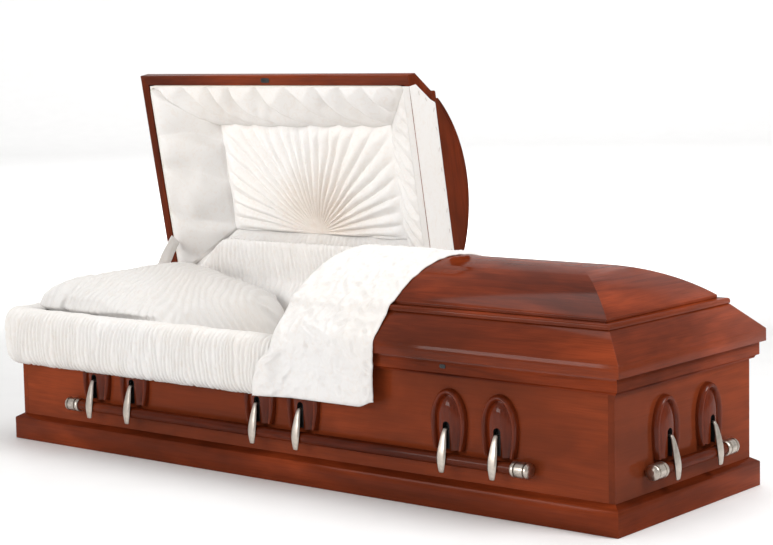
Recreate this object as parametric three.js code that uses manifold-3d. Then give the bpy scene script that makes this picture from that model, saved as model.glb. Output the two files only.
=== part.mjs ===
// A half-couch wooden funeral casket with its head lid standing open, all sizes in millimetres.
// The origin is the middle of the underside. +X runs to the foot end, +Y to the hinged back, +Z up.
// The lids are drawn shut, and the head lid is then turned open on its hinge.
import * as THREE from "three";
import { mergeVertices } from "three/addons/utils/BufferGeometryUtils.js";
import Module from "manifold-3d";

const wasm = await Module();
wasm.setup();

// Clearance between pieces that touch
const fit = 0.3;

// The box: two side panels between two end panels, on a bottom board
const panelLength = 2070;
const panelWidth = 625;
const rimHeight = 371;
const panelThickness = 18;
const bottomThickness = 15;

// Base moulding around the foot of the box, with a sloping top
const baseStandOut = 20;
const baseFaceHeight = 62;
const baseSlopeRise = 12;

// Top moulding around the rim of the box
const topStandOut = 19;
const topHeight = 41;
const topCove = 7;

// Lids: an upright fascia, a sloping board, a bead and a vaulted crown
const lidStandOut = 12.5;
const lidGap = 1.5;
const fasciaHeight = 32;
const rimWidth = 29;
const slopeRun = 69;
const slopeRise = 67.5;
const slopeThickness = 11;
const beadHeight = 13.4;
const beadOverhang = 3;
const beadSeat = 8;
const crownStep = 24;
const crownEdge = 8;
const crownHeight = 90;
const crownThickness = 12;
const crownSegments = 9;
const cutBoardThickness = 16;
const headLidCut = 8;
const lidSpacing = 14;
const openAngle = 80;

// Lining inside a lid: four sloping sides around a flat panel
const liningThickness = 8;
const liningDepth = 118;
const liningSideRun = 146;
const liningEndRun = 148;

// Soft furnishings in the box
const wallLining = 12;
const bedHeight = 240;
const bedInset = 3;
const bedRound = 24;
const pillowLength = 514;
const pillowSideGap = 9.7;
const pillowHeight = 250;
const pillowHeadGap = 8;

// Skirt of gathered cloth laid over the rim at the front and the head end
const skirtHemAbovePivot = 25;
const skirtPuff = 38;
const skirtRise = 18;
const skirtClearance = 3;
const skirtFootEnd = 4;
const skirtBackEnd = 140;

// Cloth that stands up behind the bed and leans on the open lid
const apronHeight = 188;
const apronThickness = 14;
const apronGap = 4;
const apronHeadInset = 72;

// Cloth sleeve over the arm that holds the head lid open
const sleeveWidth = 50;
const sleeveThickness = 10;
const sleeveInset = 14;
const sleeveReach = 165;
const sleeveFootSetBack = 131;

// Throw laid over the end of the foot lid and hanging down the front
const throwThickness = 13;
const throwClearance = 1.2;
const throwWidth = 332;
const throwHemAboveSkirt = 8;
const throwFlare = 59;
const throwBackOverlap = 25;
const curtainThickness = 11;
const curtainGap = 6;

// Carrying bars, each hung on arms that swing out of slotted wooden lugs
const barRadius = 16;
const barStandOff = 24;
const barHeight = 128;
const longBarLength = 1630;
const shortBarLength = 390;
const barSegments = 14;
const tipLength = 52;
const tipRadius = 20;
const lugPairSpacing = 154;
const longBarEndMargin = 53;
const shortBarEndMargin = 43;
const lugWidth = 108;
const lugTop = 300;
const lugMiddle = 218;
const lugBottom = 149;
const lugLowerReach = 125;
const lugThickness = 9;
const lugBandWidth = 20;
const lugBandHeight = 16;
const lugSlotWidth = 28;
const lugSlotTop = 215;
const pivotStandOff = 9;
const pivotHeight = 201;
const armBottom = 98;
const armWidth = 26;
const armTopWidth = 13;
const armEndWidth = 12;
const armThickness = 9;

// Places worked out from the sizes above
const panelX = panelLength / 2;
const panelY = panelWidth / 2;
const rimX = panelX + topStandOut;
const rimY = panelY + topStandOut;
const lidX = rimX + lidStandOut;
const lidY = rimY + lidStandOut;
const lidBottom = rimHeight + lidGap;
const slopeFoot = lidBottom + fasciaHeight;
const slopeTop = slopeFoot + slopeRise;
const beadTop = slopeTop + fit + beadHeight;
const crownBottom = beadTop + fit;
const crownInset = slopeRun - beadOverhang + crownStep;
const crownSpringing = crownBottom + crownEdge;
const crownHalfSpan = lidY - crownInset;
const crownRadius = (crownHalfSpan ** 2 + crownHeight ** 2) / (2 * crownHeight);
const crownTop = crownSpringing + crownHeight;
const crownCentre = crownTop - crownRadius;
const footLidCut = headLidCut + lidSpacing;
const boxInnerX = panelX - panelThickness - fit;
const boxInnerY = panelY - panelThickness - fit;
const liningInnerX = boxInnerX - wallLining;
const liningInnerY = boxInnerY - wallLining;
const pillowWidth = 2 * (liningInnerY - pillowSideGap);
const skirtDrop = rimHeight - pivotHeight - skirtHemAbovePivot;
const throwDrop = skirtDrop - throwHemAboveSkirt;
const lugPairPitch = longBarLength / 2 - tipLength - longBarEndMargin - lugPairSpacing / 2;
const endLugSpacing = shortBarLength - 2 * (tipLength + shortBarEndMargin);
const openTurn = THREE.MathUtils.degToRad(openAngle);

// Materials, by name
const materials = {
  wood: new THREE.MeshStandardMaterial({ color: 0x7a2f1a, roughness: 0.25, metalness: 0 }),
  cloth: new THREE.MeshStandardMaterial({ color: 0xf4efe9, roughness: 0.75, metalness: 0 }),
  nickel: new THREE.MeshStandardMaterial({ color: 0xb9ab9a, roughness: 0.32, metalness: 1 }),
};

// Turns a list of triangles so that they face out of the body they close
function facingOut(positions, index) {
  let volume = 0;
  const corner = (i) => new THREE.Vector3().fromArray(positions, 3 * i);
  for (let i = 0; i < index.length; i += 3) {
    const [a, b, c] = [corner(index[i]), corner(index[i + 1]), corner(index[i + 2])];
    volume += a.dot(b.cross(c));
  }
  const turned = volume < 0 ? [...index].reverse() : index;
  const geometry = new THREE.BufferGeometry();
  geometry.setAttribute("position", new THREE.Float32BufferAttribute(positions, 3));
  geometry.setIndex(turned);
  return dropFlat(mergeVertices(geometry, 1e-3));
}

// Leaves out triangles whose corners have merged
function dropFlat(geometry) {
  const kept = [];
  const index = geometry.index.array;
  for (let i = 0; i < index.length; i += 3) {
    const [a, b, c] = [index[i], index[i + 1], index[i + 2]];
    if (a !== b && b !== c && c !== a) kept.push(a, b, c);
  }
  geometry.setIndex(kept);
  return geometry;
}

// Triangles that fill one flat loop of points
function fillLoop(loop) {
  const spread = [0, 1, 2].map((k) => {
    const values = loop.map((p) => p[k]);
    return Math.max(...values) - Math.min(...values);
  });
  const thin = spread.indexOf(Math.min(...spread));
  const [u, v] = [0, 1, 2].filter((k) => k !== thin);
  const flat = loop.map((p) => new THREE.Vector2(p[u], p[v]));
  const clockwise = THREE.ShapeUtils.isClockWise(flat);
  const order = flat.map((_, i) => i);
  if (clockwise) order.reverse();
  const faces = THREE.ShapeUtils.triangulateShape(order.map((i) => flat[i]), []);
  return faces.map((face) => {
    const corners = face.map((i) => order[i]);
    return clockwise ? corners.reverse() : corners;
  });
}

// A closed body through loops of points. A ring joins its last loop to its first, and needs no ends.
// An edge of the loop that is left open has to meet another part of the same body.
function loft(loops, { ring = false, openEdge = -1 } = {}) {
  const count = loops[0].length;
  const positions = loops.flat(2);
  const index = [];
  const spans = ring ? loops.length : loops.length - 1;
  for (let s = 0; s < spans; s += 1) {
    const near = s * count;
    const far = ((s + 1) % loops.length) * count;
    for (let i = 0; i < count; i += 1) {
      if (i === openEdge) continue;
      const next = (i + 1) % count;
      index.push(near + i, far + i, far + next, near + i, far + next, near + next);
    }
  }
  if (!ring) {
    const last = (loops.length - 1) * count;
    for (const [a, b, c] of fillLoop(loops[0])) index.push(a, b, c);
    for (const [a, b, c] of fillLoop(loops[0])) index.push(last + c, last + b, last + a);
  }
  return facingOut(positions, index);
}

// A loop in the Y-Z plane, drawn at each of some places along X
const alongX = (outline, places) => loft(places.map((x) => outline.map(([y, z]) => [x, y, z])));

// Joins, cuts and overlaps of closed bodies
function toSolid(geometry) {
  const plain = new THREE.BufferGeometry();
  plain.setAttribute("position", geometry.attributes.position);
  if (geometry.index) plain.setIndex(geometry.index);
  const merged = dropFlat(mergeVertices(plain, 1e-3));
  const mesh = new wasm.Mesh({
    numProp: 3,
    vertProperties: new Float32Array(merged.attributes.position.array),
    triVerts: new Uint32Array(merged.index.array),
  });
  return new wasm.Manifold(mesh);
}

function fromSolid(solid) {
  const mesh = solid.getMesh();
  const geometry = new THREE.BufferGeometry();
  geometry.setAttribute("position", new THREE.Float32BufferAttribute(mesh.vertProperties, 3));
  geometry.setIndex([...mesh.triVerts]);
  return geometry;
}

// A rectangle at one height, from its four sides
const rectangle = (x0, x1, y0, y1, z) => [
  [x0, y0, z],
  [x1, y0, z],
  [x1, y1, z],
  [x0, y1, z],
];

// A plain board
function board(x0, x1, y0, y1, z0, z1) {
  return loft([rectangle(x0, x1, y0, y1, z0), rectangle(x0, x1, y0, y1, z1)]);
}

// A moulding's profile, as [inset, height] points, carried round all four sides of a rectangle
function mouldingRing(profile, halfX, halfY) {
  const corners = [[-1, -1], [1, -1], [1, 1], [-1, 1]];
  const loops = corners.map(([sx, sy]) => profile.map(([n, z]) => [sx * (halfX - n), sy * (halfY - n), z]));
  return loft(loops, { ring: true });
}

// A profile carried round three sides of a lid, from the cut to the end and back to the cut
function lidRun(profile, cut, side, openEdge = -1) {
  const front = profile.map(([n, z]) => [cut, n - lidY, z]);
  const frontCorner = profile.map(([n, z]) => [side * (lidX - n), n - lidY, z]);
  const backCorner = profile.map(([n, z]) => [side * (lidX - n), lidY - n, z]);
  const back = profile.map(([n, z]) => [cut, lidY - n, z]);
  return loft([front, frontCorner, backCorner, back], { openEdge });
}

const root = new THREE.Group();

function add(group, name, geometry, material) {
  geometry.computeVertexNormals();
  const mesh = new THREE.Mesh(geometry, material);
  mesh.name = name;
  group.add(mesh);
  return mesh;
}

// The wooden box
function addBox() {
  const sideX = panelX - panelThickness - fit;
  add(root, "bottom_board", board(-sideX, sideX, -boxInnerY, boxInnerY, 0, bottomThickness), materials.wood);
  const innerY = panelY - panelThickness;
  add(root, "front_panel", board(-sideX, sideX, -panelY, -innerY, 0, rimHeight), materials.wood);
  add(root, "back_panel", board(-sideX, sideX, innerY, panelY, 0, rimHeight), materials.wood);
  const innerX = panelX - panelThickness;
  add(root, "head_panel", board(-panelX, -innerX, -panelY, panelY, 0, rimHeight), materials.wood);
  add(root, "foot_panel", board(innerX, panelX, -panelY, panelY, 0, rimHeight), materials.wood);
  const baseProfile = [
    [0, 0],
    [0, baseFaceHeight],
    [baseStandOut - fit, baseFaceHeight + baseSlopeRise],
    [baseStandOut - fit, 0],
  ];
  add(
    root,
    "base_moulding",
    mouldingRing(baseProfile, panelX + baseStandOut, panelY + baseStandOut),
    materials.wood,
  );
  const bottom = rimHeight - topHeight;
  const topProfile = [
    [0, rimHeight],
    [0, bottom + topCove],
    [topCove / 3, bottom + topCove / 3],
    [topCove, bottom],
    [topStandOut - fit, bottom],
    [topStandOut - fit, rimHeight],
  ];
  add(root, "top_moulding", mouldingRing(topProfile, rimX, rimY), materials.wood);
}

// Points of a crown's arc, from the springing line at the eave to the ridge
function crownArc(radius, startHeight) {
  const start = Math.acos((startHeight - crownCentre) / radius);
  const points = [];
  for (let i = 0; i <= crownSegments; i += 1) {
    const turn = start * (1 - i / crownSegments);
    points.push([lidY - radius * Math.sin(turn), crownCentre + radius * Math.cos(turn)]);
  }
  return points;
}

// One lid's woodwork. side is -1 at the head and 1 at the foot.
function addLidWood(group, name, cut, side) {
  const innerTop = slopeTop - slopeThickness;
  const shelf = crownInset + beadSeat;
  const rimProfile = [
    [0, lidBottom],
    [0, slopeFoot],
    [slopeRun, slopeTop],
    [shelf, slopeTop],
    [shelf, innerTop],
    [slopeRun + rimWidth * 0.7, innerTop],
    [rimWidth, slopeFoot - 2],
    [rimWidth, lidBottom],
  ];
  add(group, `${name}_rim`, lidRun(rimProfile, cut, side), materials.wood);
  const beadFoot = slopeTop + fit;
  const beadFace = slopeRun - beadOverhang;
  const beadProfile = [
    [beadFace, beadFoot],
    [beadFace, beadFoot + beadHeight * 0.5],
    [beadFace + 2, beadTop - 2.5],
    [beadFace + 6, beadTop],
    [shelf, beadTop],
    [shelf, beadFoot],
  ];
  add(group, `${name}_bead`, lidRun(beadProfile, cut, side), materials.wood);
  const outer = crownArc(crownRadius, crownSpringing);
  const inner = crownArc(crownRadius - crownThickness, crownBottom).reverse();
  const crownProfile = [[crownInset, crownBottom], ...outer, ...inner];
  const ridgeEdge = outer.length;
  add(group, `${name}_crown`, lidRun(crownProfile, cut, side, ridgeEdge), materials.wood);
  const face = cut;
  const back = cut + side * cutBoardThickness;
  const arch = crownArc(crownRadius - crownThickness - fit, beadTop).map(([n, z]) => [n - lidY, z]);
  const half = [
    [rimWidth + fit - lidY, lidBottom],
    [rimWidth + fit - lidY, slopeFoot - 2],
    [slopeRun + rimWidth * 0.7 + fit - lidY, innerTop - fit],
    [shelf + fit - lidY, innerTop - fit],
    [shelf + fit - lidY, beadTop - 1],
    ...arch,
  ];
  const mirrored = half.slice(0, -1).reverse().map(([y, z]) => [-y, z]);
  add(group, `${name}_cut_board`, alongX([...half, ...mirrored], [face, back]), materials.wood);
}

// The padded lining inside one lid
function addLidLining(group, name, cut, side) {
  const top = lidBottom + 0.5;
  const panel = top + liningDepth;
  const cutFace = cut + side * (cutBoardThickness + fit);
  const tray = (inset, run, z) => {
    const end = side * (lidX - rimWidth - fit - inset - run * liningEndRun);
    const near = cutFace + side * (inset + run * liningEndRun);
    const halfY = lidY - rimWidth - fit - inset - run * liningSideRun;
    return rectangle(Math.min(end, near), Math.max(end, near), -halfY, halfY, z);
  };
  const loops = [
    tray(0, 1, panel + liningThickness),
    tray(0, 0, top),
    tray(liningThickness, 0, top),
    tray(liningThickness, 1, panel),
  ];
  add(group, name, loft(loops), materials.cloth);
}

// A point on the open head lid: a distance up from its hinge, and another in front of its rim
function beforeOpenLid(up, out) {
  return [
    lidY - up * Math.cos(openTurn) - out * Math.sin(openTurn),
    lidBottom + up * Math.sin(openTurn) - out * Math.cos(openTurn),
  ];
}

// The pillow: rounded loops, low at its foot side and crowned in the middle
function addPillow() {
  const headX = -liningInnerX + pillowHeadGap;
  const levels = [
    [22, 0],
    [5, 0.16],
    [0, 0.45],
    [8, 0.7],
    [28, 0.87],
    [74, 0.97],
    [150, 1],
  ];
  const around = 20;
  const loops = levels.map(([inset, share]) => {
    const loop = [];
    for (let i = 0; i < around; i += 1) {
      const turn = (2 * Math.PI * i) / around;
      const blunt = (v) => Math.sign(v) * Math.abs(v) ** 0.5;
      const x = headX + pillowLength / 2 + (pillowLength / 2 - inset) * blunt(Math.cos(turn));
      const y = (pillowWidth / 2 - inset) * blunt(Math.sin(turn));
      const along = (x - headX) / pillowLength;
      const height = pillowHeight * share * (0.9 + 0.1 * Math.sin(Math.PI * along) - 0.38 * along ** 2);
      loop.push([x, y, bedHeight + fit + height]);
    }
    return loop;
  });
  const positions = loops.flat(2);
  const ends = [loops[0], loops[loops.length - 1]].map((loop) => {
    const sum = loop.reduce((a, p) => a.map((v, k) => v + p[k]), [0, 0, 0]);
    return sum.map((v) => v / around);
  });
  positions.push(...ends[0], ...ends[1]);
  const index = [];
  const lower = levels.length * around;
  const last = lower - around;
  for (let s = 0; s < levels.length - 1; s += 1) {
    for (let i = 0; i < around; i += 1) {
      const [a, b] = [s * around + i, s * around + ((i + 1) % around)];
      index.push(a, b, b + around, a, b + around, a + around);
    }
  }
  for (let i = 0; i < around; i += 1) {
    const next = (i + 1) % around;
    index.push(next, i, lower, last + i, last + next, lower + 1);
  }
  add(root, "pillow", facingOut(positions, index), materials.cloth);
}

// Linings, bed, skirt, apron and the sleeve of the lid's stay
function addSoftGoods() {
  const liningProfile = [
    [0, bottomThickness + fit],
    [0, rimHeight],
    [wallLining, rimHeight],
    [wallLining, bottomThickness + fit],
  ];
  add(root, "body_lining", mouldingRing(liningProfile, boxInnerX, boxInnerY), materials.cloth);
  const bedX = liningInnerX - bedInset;
  const bedY = liningInnerY - bedInset;
  const bed = [
    rectangle(-bedX, bedX, -bedY, bedY, bottomThickness + fit),
    rectangle(-bedX, bedX, -bedY, bedY, bedHeight - bedRound),
    rectangle(-bedX + bedRound, bedX - bedRound, -bedY + bedRound, bedY - bedRound, bedHeight),
  ];
  add(root, "bed", loft(bed), materials.cloth);
  addPillow();
  const hem = rimHeight - skirtDrop;
  const inner = topStandOut + panelThickness + wallLining - 1;
  const skirtProfile = [
    [-skirtPuff * 0.42, hem],
    [-skirtPuff * 0.86, hem + skirtDrop * 0.17],
    [-skirtPuff, hem + skirtDrop * 0.5],
    [-skirtPuff * 0.94, hem + skirtDrop * 0.86],
    [-skirtPuff * 0.68, rimHeight + skirtRise * 0.4],
    [-skirtPuff * 0.2, rimHeight + skirtRise],
    [inner * 0.62, rimHeight + skirtRise],
    [inner - 2, rimHeight + skirtRise * 0.6],
    [inner, rimHeight + 2],
    [-skirtClearance, rimHeight + 2],
    [-skirtClearance, hem],
  ];
  const skirt = [
    skirtProfile.map(([n, z]) => [skirtFootEnd, n - rimY, z]),
    skirtProfile.map(([n, z]) => [n - rimX, n - rimY, z]),
    skirtProfile.map(([n, z]) => [n - rimX, skirtBackEnd, z]),
  ];
  add(root, "skirt", loft(skirt), materials.cloth);
  const apronOutline = (height) => [
    beforeOpenLid(height, apronGap),
    beforeOpenLid(height, apronGap + apronThickness),
    beforeOpenLid(height * 0.25, apronGap + apronThickness * 1.4),
    [boxInnerY + 4, rimHeight + 20],
    [liningInnerY + 2, rimHeight + 12],
    [liningInnerY + 2, rimHeight + 2],
    [rimY + 2, rimHeight + 2],
    beforeOpenLid(14, apronGap),
  ];
  const apronHead = -liningInnerX + apronHeadInset;
  const apron = [
    [apronHead, 0.42],
    [apronHead + 60, 0.8],
    [apronHead + 150, 1],
    [headLidCut - 10, 1],
  ].map(([x, share]) => apronOutline(apronHeight * share).map(([y, z]) => [x, y, z]));
  add(root, "apron", loft(apron), materials.cloth);
  const footY = lidY - sleeveFootSetBack;
  const sleeve = [
    beforeOpenLid(sleeveReach + sleeveWidth / 2, apronGap),
    [footY - sleeveWidth / 2, rimHeight + 2],
    [footY + sleeveWidth / 2, rimHeight + 2],
    beforeOpenLid(sleeveReach - sleeveWidth / 2, apronGap),
  ];
  const sleeveX = -panelX + sleeveInset;
  add(root, "stay_sleeve", alongX(sleeve, [sleeveX, sleeveX + sleeveThickness]), materials.cloth);
}

// The lid's outside as seen from its end, moved out by a clearance, from the front to the back
function lidOutline(out) {
  const arc = crownArc(crownRadius + out, crownSpringing + out * 0.3).map(([n, z]) => [n - lidY, z]);
  const beadFace = slopeRun - beadOverhang;
  const half = [
    [-lidY - out, lidBottom],
    [-lidY - out, slopeFoot + out * 0.4],
    [beadFace - lidY - out, slopeTop + out * 0.4],
    [beadFace - lidY - out, beadTop + out * 0.4],
    ...arc,
  ];
  const mirrored = half.slice(1, -1).reverse().map(([y, z]) => [-y, z]);
  mirrored[mirrored.length - 1] = [
    lidY - slopeRun + throwBackOverlap + out,
    slopeTop - throwBackOverlap * (slopeRise / slopeRun) + out * 0.4,
  ];
  return [...half, ...mirrored];
}

// The throw: over the foot lid's cut end, down between the lids, and down the front
function addThrow(group) {
  const nearX = headLidCut + 1.5;
  const farX = nearX + throwWidth;
  const under = lidOutline(throwClearance);
  const over = lidOutline(throwClearance + throwThickness);
  const band = alongX([...under, ...[...over].reverse()], [nearX, farX]);
  const reach = lidY + liningInnerY - 4;
  const bottom = bedHeight + curtainGap;
  const fall = lidBottom - bottom;
  const curtainFront = lidY - Math.sqrt(reach ** 2 - fall ** 2) + 2;
  const curtain = [
    ...lidOutline(throwClearance + 2),
    [lidY - slopeRun, lidBottom + 1],
    [liningInnerY - 4, lidBottom + 1],
    [liningInnerY - 4, bottom],
    [curtainFront, bottom],
    [lidY - reach, lidBottom + 1],
  ];
  const hem = rimHeight - throwDrop;
  const skirtFace = -rimY - skirtPuff - 6;
  const lidFace = -lidY - throwClearance - 1;
  const fallOutline = (inside) => [
    [inside - throwThickness, hem],
    [inside - throwThickness, rimHeight - 5],
    [-lidY - throwClearance - throwThickness, slopeFoot - 4],
    [-lidY - throwClearance, slopeFoot - 4],
    [-lidY - throwClearance, lidBottom + 2],
    [inside, rimHeight - 12],
    [inside, hem],
  ];
  const fallLoops = [
    [nearX, skirtFace],
    [nearX + 80, lidFace],
    [farX, lidFace],
  ].map(([x, inside]) => fallOutline(inside).map(([y, z]) => [x, y, z]));
  const flareOutline = [
    [skirtFace - throwThickness, hem],
    [skirtFace - throwThickness, rimHeight - 5],
    [skirtFace, rimHeight - 5],
    [skirtFace, hem],
  ];
  const flareX = nearX - throwFlare;
  const bodies = [
    band,
    alongX(curtain, [nearX, nearX + curtainThickness]),
    loft(fallLoops),
    alongX(flareOutline, [flareX, nearX + 2]),
  ].map(toSolid);
  const joined = bodies.reduce((a, b) => a.add(b));
  add(group, "throw", fromSolid(joined), materials.cloth);
}

// A lug's outline: half an ellipse above its middle, and the top of a longer one below, cut off flat
function lugOutline(inset, steps) {
  const half = lugWidth / 2 - inset;
  const upper = lugTop - lugMiddle - inset;
  const points = [];
  for (let i = 0; i <= steps; i += 1) {
    const turn = (Math.PI * i) / steps;
    points.push(new THREE.Vector2(half * Math.cos(turn), lugMiddle + upper * Math.sin(turn)));
  }
  const drop = (lugMiddle - lugBottom) / lugLowerReach;
  const foot = half * Math.sqrt(1 - drop ** 2);
  points.push(new THREE.Vector2(-foot, lugBottom), new THREE.Vector2(foot, lugBottom));
  return points;
}

// A slotted wooden lug. It is drawn facing +Z of its own, with its height along Y.
function lugGeometry() {
  const steps = 10;
  const plate = new THREE.ExtrudeGeometry(new THREE.Shape(lugOutline(0, steps)), {
    depth: lugThickness,
    bevelEnabled: false,
  });
  const bandShape = new THREE.Shape(lugOutline(1, steps));
  const band = new THREE.ExtrudeGeometry(bandShape, { depth: lugBandHeight, bevelEnabled: false });
  const hollowShape = new THREE.Shape(lugOutline(lugBandWidth, steps));
  const hollow = new THREE.ExtrudeGeometry(hollowShape, { depth: lugBandHeight + 2, bevelEnabled: false });
  hollow.translate(0, 0, lugThickness);
  const slotShape = new THREE.Shape();
  const slotRadius = lugSlotWidth / 2;
  slotShape.moveTo(-slotRadius, lugBottom - 5);
  slotShape.lineTo(slotRadius, lugBottom - 5);
  slotShape.absarc(0, lugSlotTop - slotRadius, slotRadius, 0, Math.PI, false);
  const slot = new THREE.ExtrudeGeometry(slotShape, {
    depth: lugBandHeight + 4,
    bevelEnabled: false,
    curveSegments: 6,
  });
  slot.translate(0, 0, 1.5);
  const throatShape = new THREE.Shape([
    new THREE.Vector2(-lugWidth, lugBottom - 5),
    new THREE.Vector2(lugWidth, lugBottom - 5),
    new THREE.Vector2(lugWidth, lugBottom + 0.01),
    new THREE.Vector2(-lugWidth, lugBottom + 0.01),
  ]);
  const throat = new THREE.ExtrudeGeometry(throatShape, { depth: lugBandHeight * 2, bevelEnabled: false });
  throat.translate(0, 0, -lugBandHeight / 2);
  const [plateSolid, bandSolid, hollowSolid, slotSolid, throatSolid] = [plate, band, hollow, slot, throat].map(
    toSolid,
  );
  const raised = bandSolid.subtract(hollowSolid);
  return fromSolid(plateSolid.add(raised).subtract(slotSolid).subtract(throatSolid));
}

// A metal arm. Its side view runs out of the slot, over the bar and down; its front view is a lozenge.
function armGeometry() {
  const barFront = barStandOff + barRadius + 0.4;
  const faceOut = barFront + armThickness;
  const side = new THREE.Shape([
    new THREE.Vector2(pivotStandOff - 5, pivotHeight + 5),
    new THREE.Vector2(pivotStandOff + 5, pivotHeight + 6),
    new THREE.Vector2(pivotStandOff + 15, pivotHeight - 5),
    new THREE.Vector2(faceOut - 9, pivotHeight - 24),
    new THREE.Vector2(faceOut, barHeight + 26),
    new THREE.Vector2(faceOut + 1, barHeight),
    new THREE.Vector2(faceOut - 3, armBottom),
    new THREE.Vector2(barFront - 1, armBottom),
    new THREE.Vector2(barFront, barHeight - 12),
    new THREE.Vector2(barFront, barHeight + 18),
    new THREE.Vector2(barFront - 9, pivotHeight - 25),
    new THREE.Vector2(pivotStandOff + 5, pivotHeight - 8),
    new THREE.Vector2(pivotStandOff - 5, pivotHeight - 5),
  ]);
  const sideBody = new THREE.ExtrudeGeometry(side, { depth: armWidth + 4, bevelEnabled: false });
  sideBody.translate(0, 0, -(armWidth + 4) / 2);
  // Side view: depth from the panel is X, height is Y. Turned so that depth is Z, as on the lug.
  sideBody.rotateY(-Math.PI / 2);
  const half = armWidth / 2;
  const front = new THREE.Shape([
    new THREE.Vector2(-armTopWidth / 2, pivotHeight + 8),
    new THREE.Vector2(-armTopWidth / 2, pivotHeight - 8),
    new THREE.Vector2(-half, barHeight + 14),
    new THREE.Vector2(-half, barHeight + 2),
    new THREE.Vector2(-armEndWidth / 2, armBottom - 1),
    new THREE.Vector2(armEndWidth / 2, armBottom - 1),
    new THREE.Vector2(half, barHeight + 2),
    new THREE.Vector2(half, barHeight + 14),
    new THREE.Vector2(armTopWidth / 2, pivotHeight - 8),
    new THREE.Vector2(armTopWidth / 2, pivotHeight + 8),
  ]);
  const frontBody = new THREE.ExtrudeGeometry(front, { depth: 2 * faceOut, bevelEnabled: false });
  return fromSolid(toSolid(sideBody).intersect(toSolid(frontBody)));
}

// A wooden bar with its turned metal tips, along X
function barGeometry(length) {
  const end = length / 2;
  const shoulder = end - tipLength;
  const half = [
    [barRadius, shoulder],
    [tipRadius * 0.94, shoulder],
    [tipRadius, shoulder + 4],
    [tipRadius, end - 7],
    [tipRadius * 0.78, end],
  ];
  const profile = [
    new THREE.Vector2(0, -end),
    ...[...half].reverse().map(([r, x]) => new THREE.Vector2(r, -x)),
    ...half.map(([r, x]) => new THREE.Vector2(r, x)),
    new THREE.Vector2(0, end),
  ];
  const bar = new THREE.LatheGeometry(profile, barSegments);
  bar.rotateZ(-Math.PI / 2);
  return dropFlat(mergeVertices(new THREE.BufferGeometry().copy(bar).deleteAttribute("normal").deleteAttribute("uv")));
}

// One side's lugs, arms and bar. The group's +Z faces out of the panel and its +Y is up.
function addCarryingBar(name, length, places, faceDistance, turn) {
  const faces = new THREE.Group();
  faces.rotation.set(Math.PI / 2, 0, 0);
  const holder = new THREE.Group();
  holder.rotation.z = turn;
  holder.add(faces);
  root.add(holder);
  places.forEach((x, i) => {
    const lug = add(faces, `${name}_lug_${i + 1}`, lugGeometry(), materials.wood);
    lug.position.set(x, 0, faceDistance + fit);
    const arm = add(faces, `${name}_arm_${i + 1}`, armGeometry(), materials.nickel);
    arm.position.set(x, 0, faceDistance);
  });
  const bar = add(faces, `${name}_bar`, barGeometry(length), materials.wood);
  bar.position.set(0, barHeight, faceDistance + barStandOff);
}

addBox();
addSoftGoods();

const headLid = new THREE.Group();
headLid.position.set(0, -lidY, -lidBottom);
addLidWood(headLid, "head_lid", headLidCut, -1);
addLidLining(headLid, "head_lid_lining", headLidCut, -1);
const headHinge = new THREE.Group();
headHinge.position.set(0, lidY, lidBottom);
headHinge.rotation.x = -openTurn;
headHinge.add(headLid);
root.add(headHinge);

const footLid = new THREE.Group();
addLidWood(footLid, "foot_lid", footLidCut, 1);
addLidLining(footLid, "foot_lid_lining", footLidCut, 1);
addThrow(footLid);
root.add(footLid);

const longPlaces = [-lugPairPitch, 0, lugPairPitch].flatMap((centre) => [
  centre - lugPairSpacing / 2,
  centre + lugPairSpacing / 2,
]);
const shortPlaces = [-endLugSpacing / 2, endLugSpacing / 2];
addCarryingBar("front", longBarLength, longPlaces, panelY, 0);
addCarryingBar("back", longBarLength, longPlaces, panelY, Math.PI);
addCarryingBar("foot", shortBarLength, shortPlaces, panelX, Math.PI / 2);
addCarryingBar("head", shortBarLength, shortPlaces, panelX, -Math.PI / 2);

export default root;
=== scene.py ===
import math

import bmesh
import bpy
import numpy as np
from mathutils import Matrix, Vector


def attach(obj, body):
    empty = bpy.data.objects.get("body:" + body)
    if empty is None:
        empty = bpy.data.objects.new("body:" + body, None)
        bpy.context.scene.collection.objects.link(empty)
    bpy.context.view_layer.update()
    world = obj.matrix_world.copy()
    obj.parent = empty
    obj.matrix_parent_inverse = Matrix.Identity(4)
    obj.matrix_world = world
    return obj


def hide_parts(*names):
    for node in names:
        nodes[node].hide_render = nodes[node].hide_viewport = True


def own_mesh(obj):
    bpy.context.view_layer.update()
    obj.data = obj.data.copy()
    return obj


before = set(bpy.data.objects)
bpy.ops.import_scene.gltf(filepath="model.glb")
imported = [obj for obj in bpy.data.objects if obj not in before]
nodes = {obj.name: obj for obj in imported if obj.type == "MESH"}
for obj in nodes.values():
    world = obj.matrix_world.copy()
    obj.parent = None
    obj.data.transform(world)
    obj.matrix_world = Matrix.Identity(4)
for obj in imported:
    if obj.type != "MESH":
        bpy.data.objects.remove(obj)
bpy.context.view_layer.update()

# A half-couch casket, dressed: polished wood, crinkled crepe and antiqued metal. Sizes are in metres.

scene = bpy.context.scene

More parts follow.
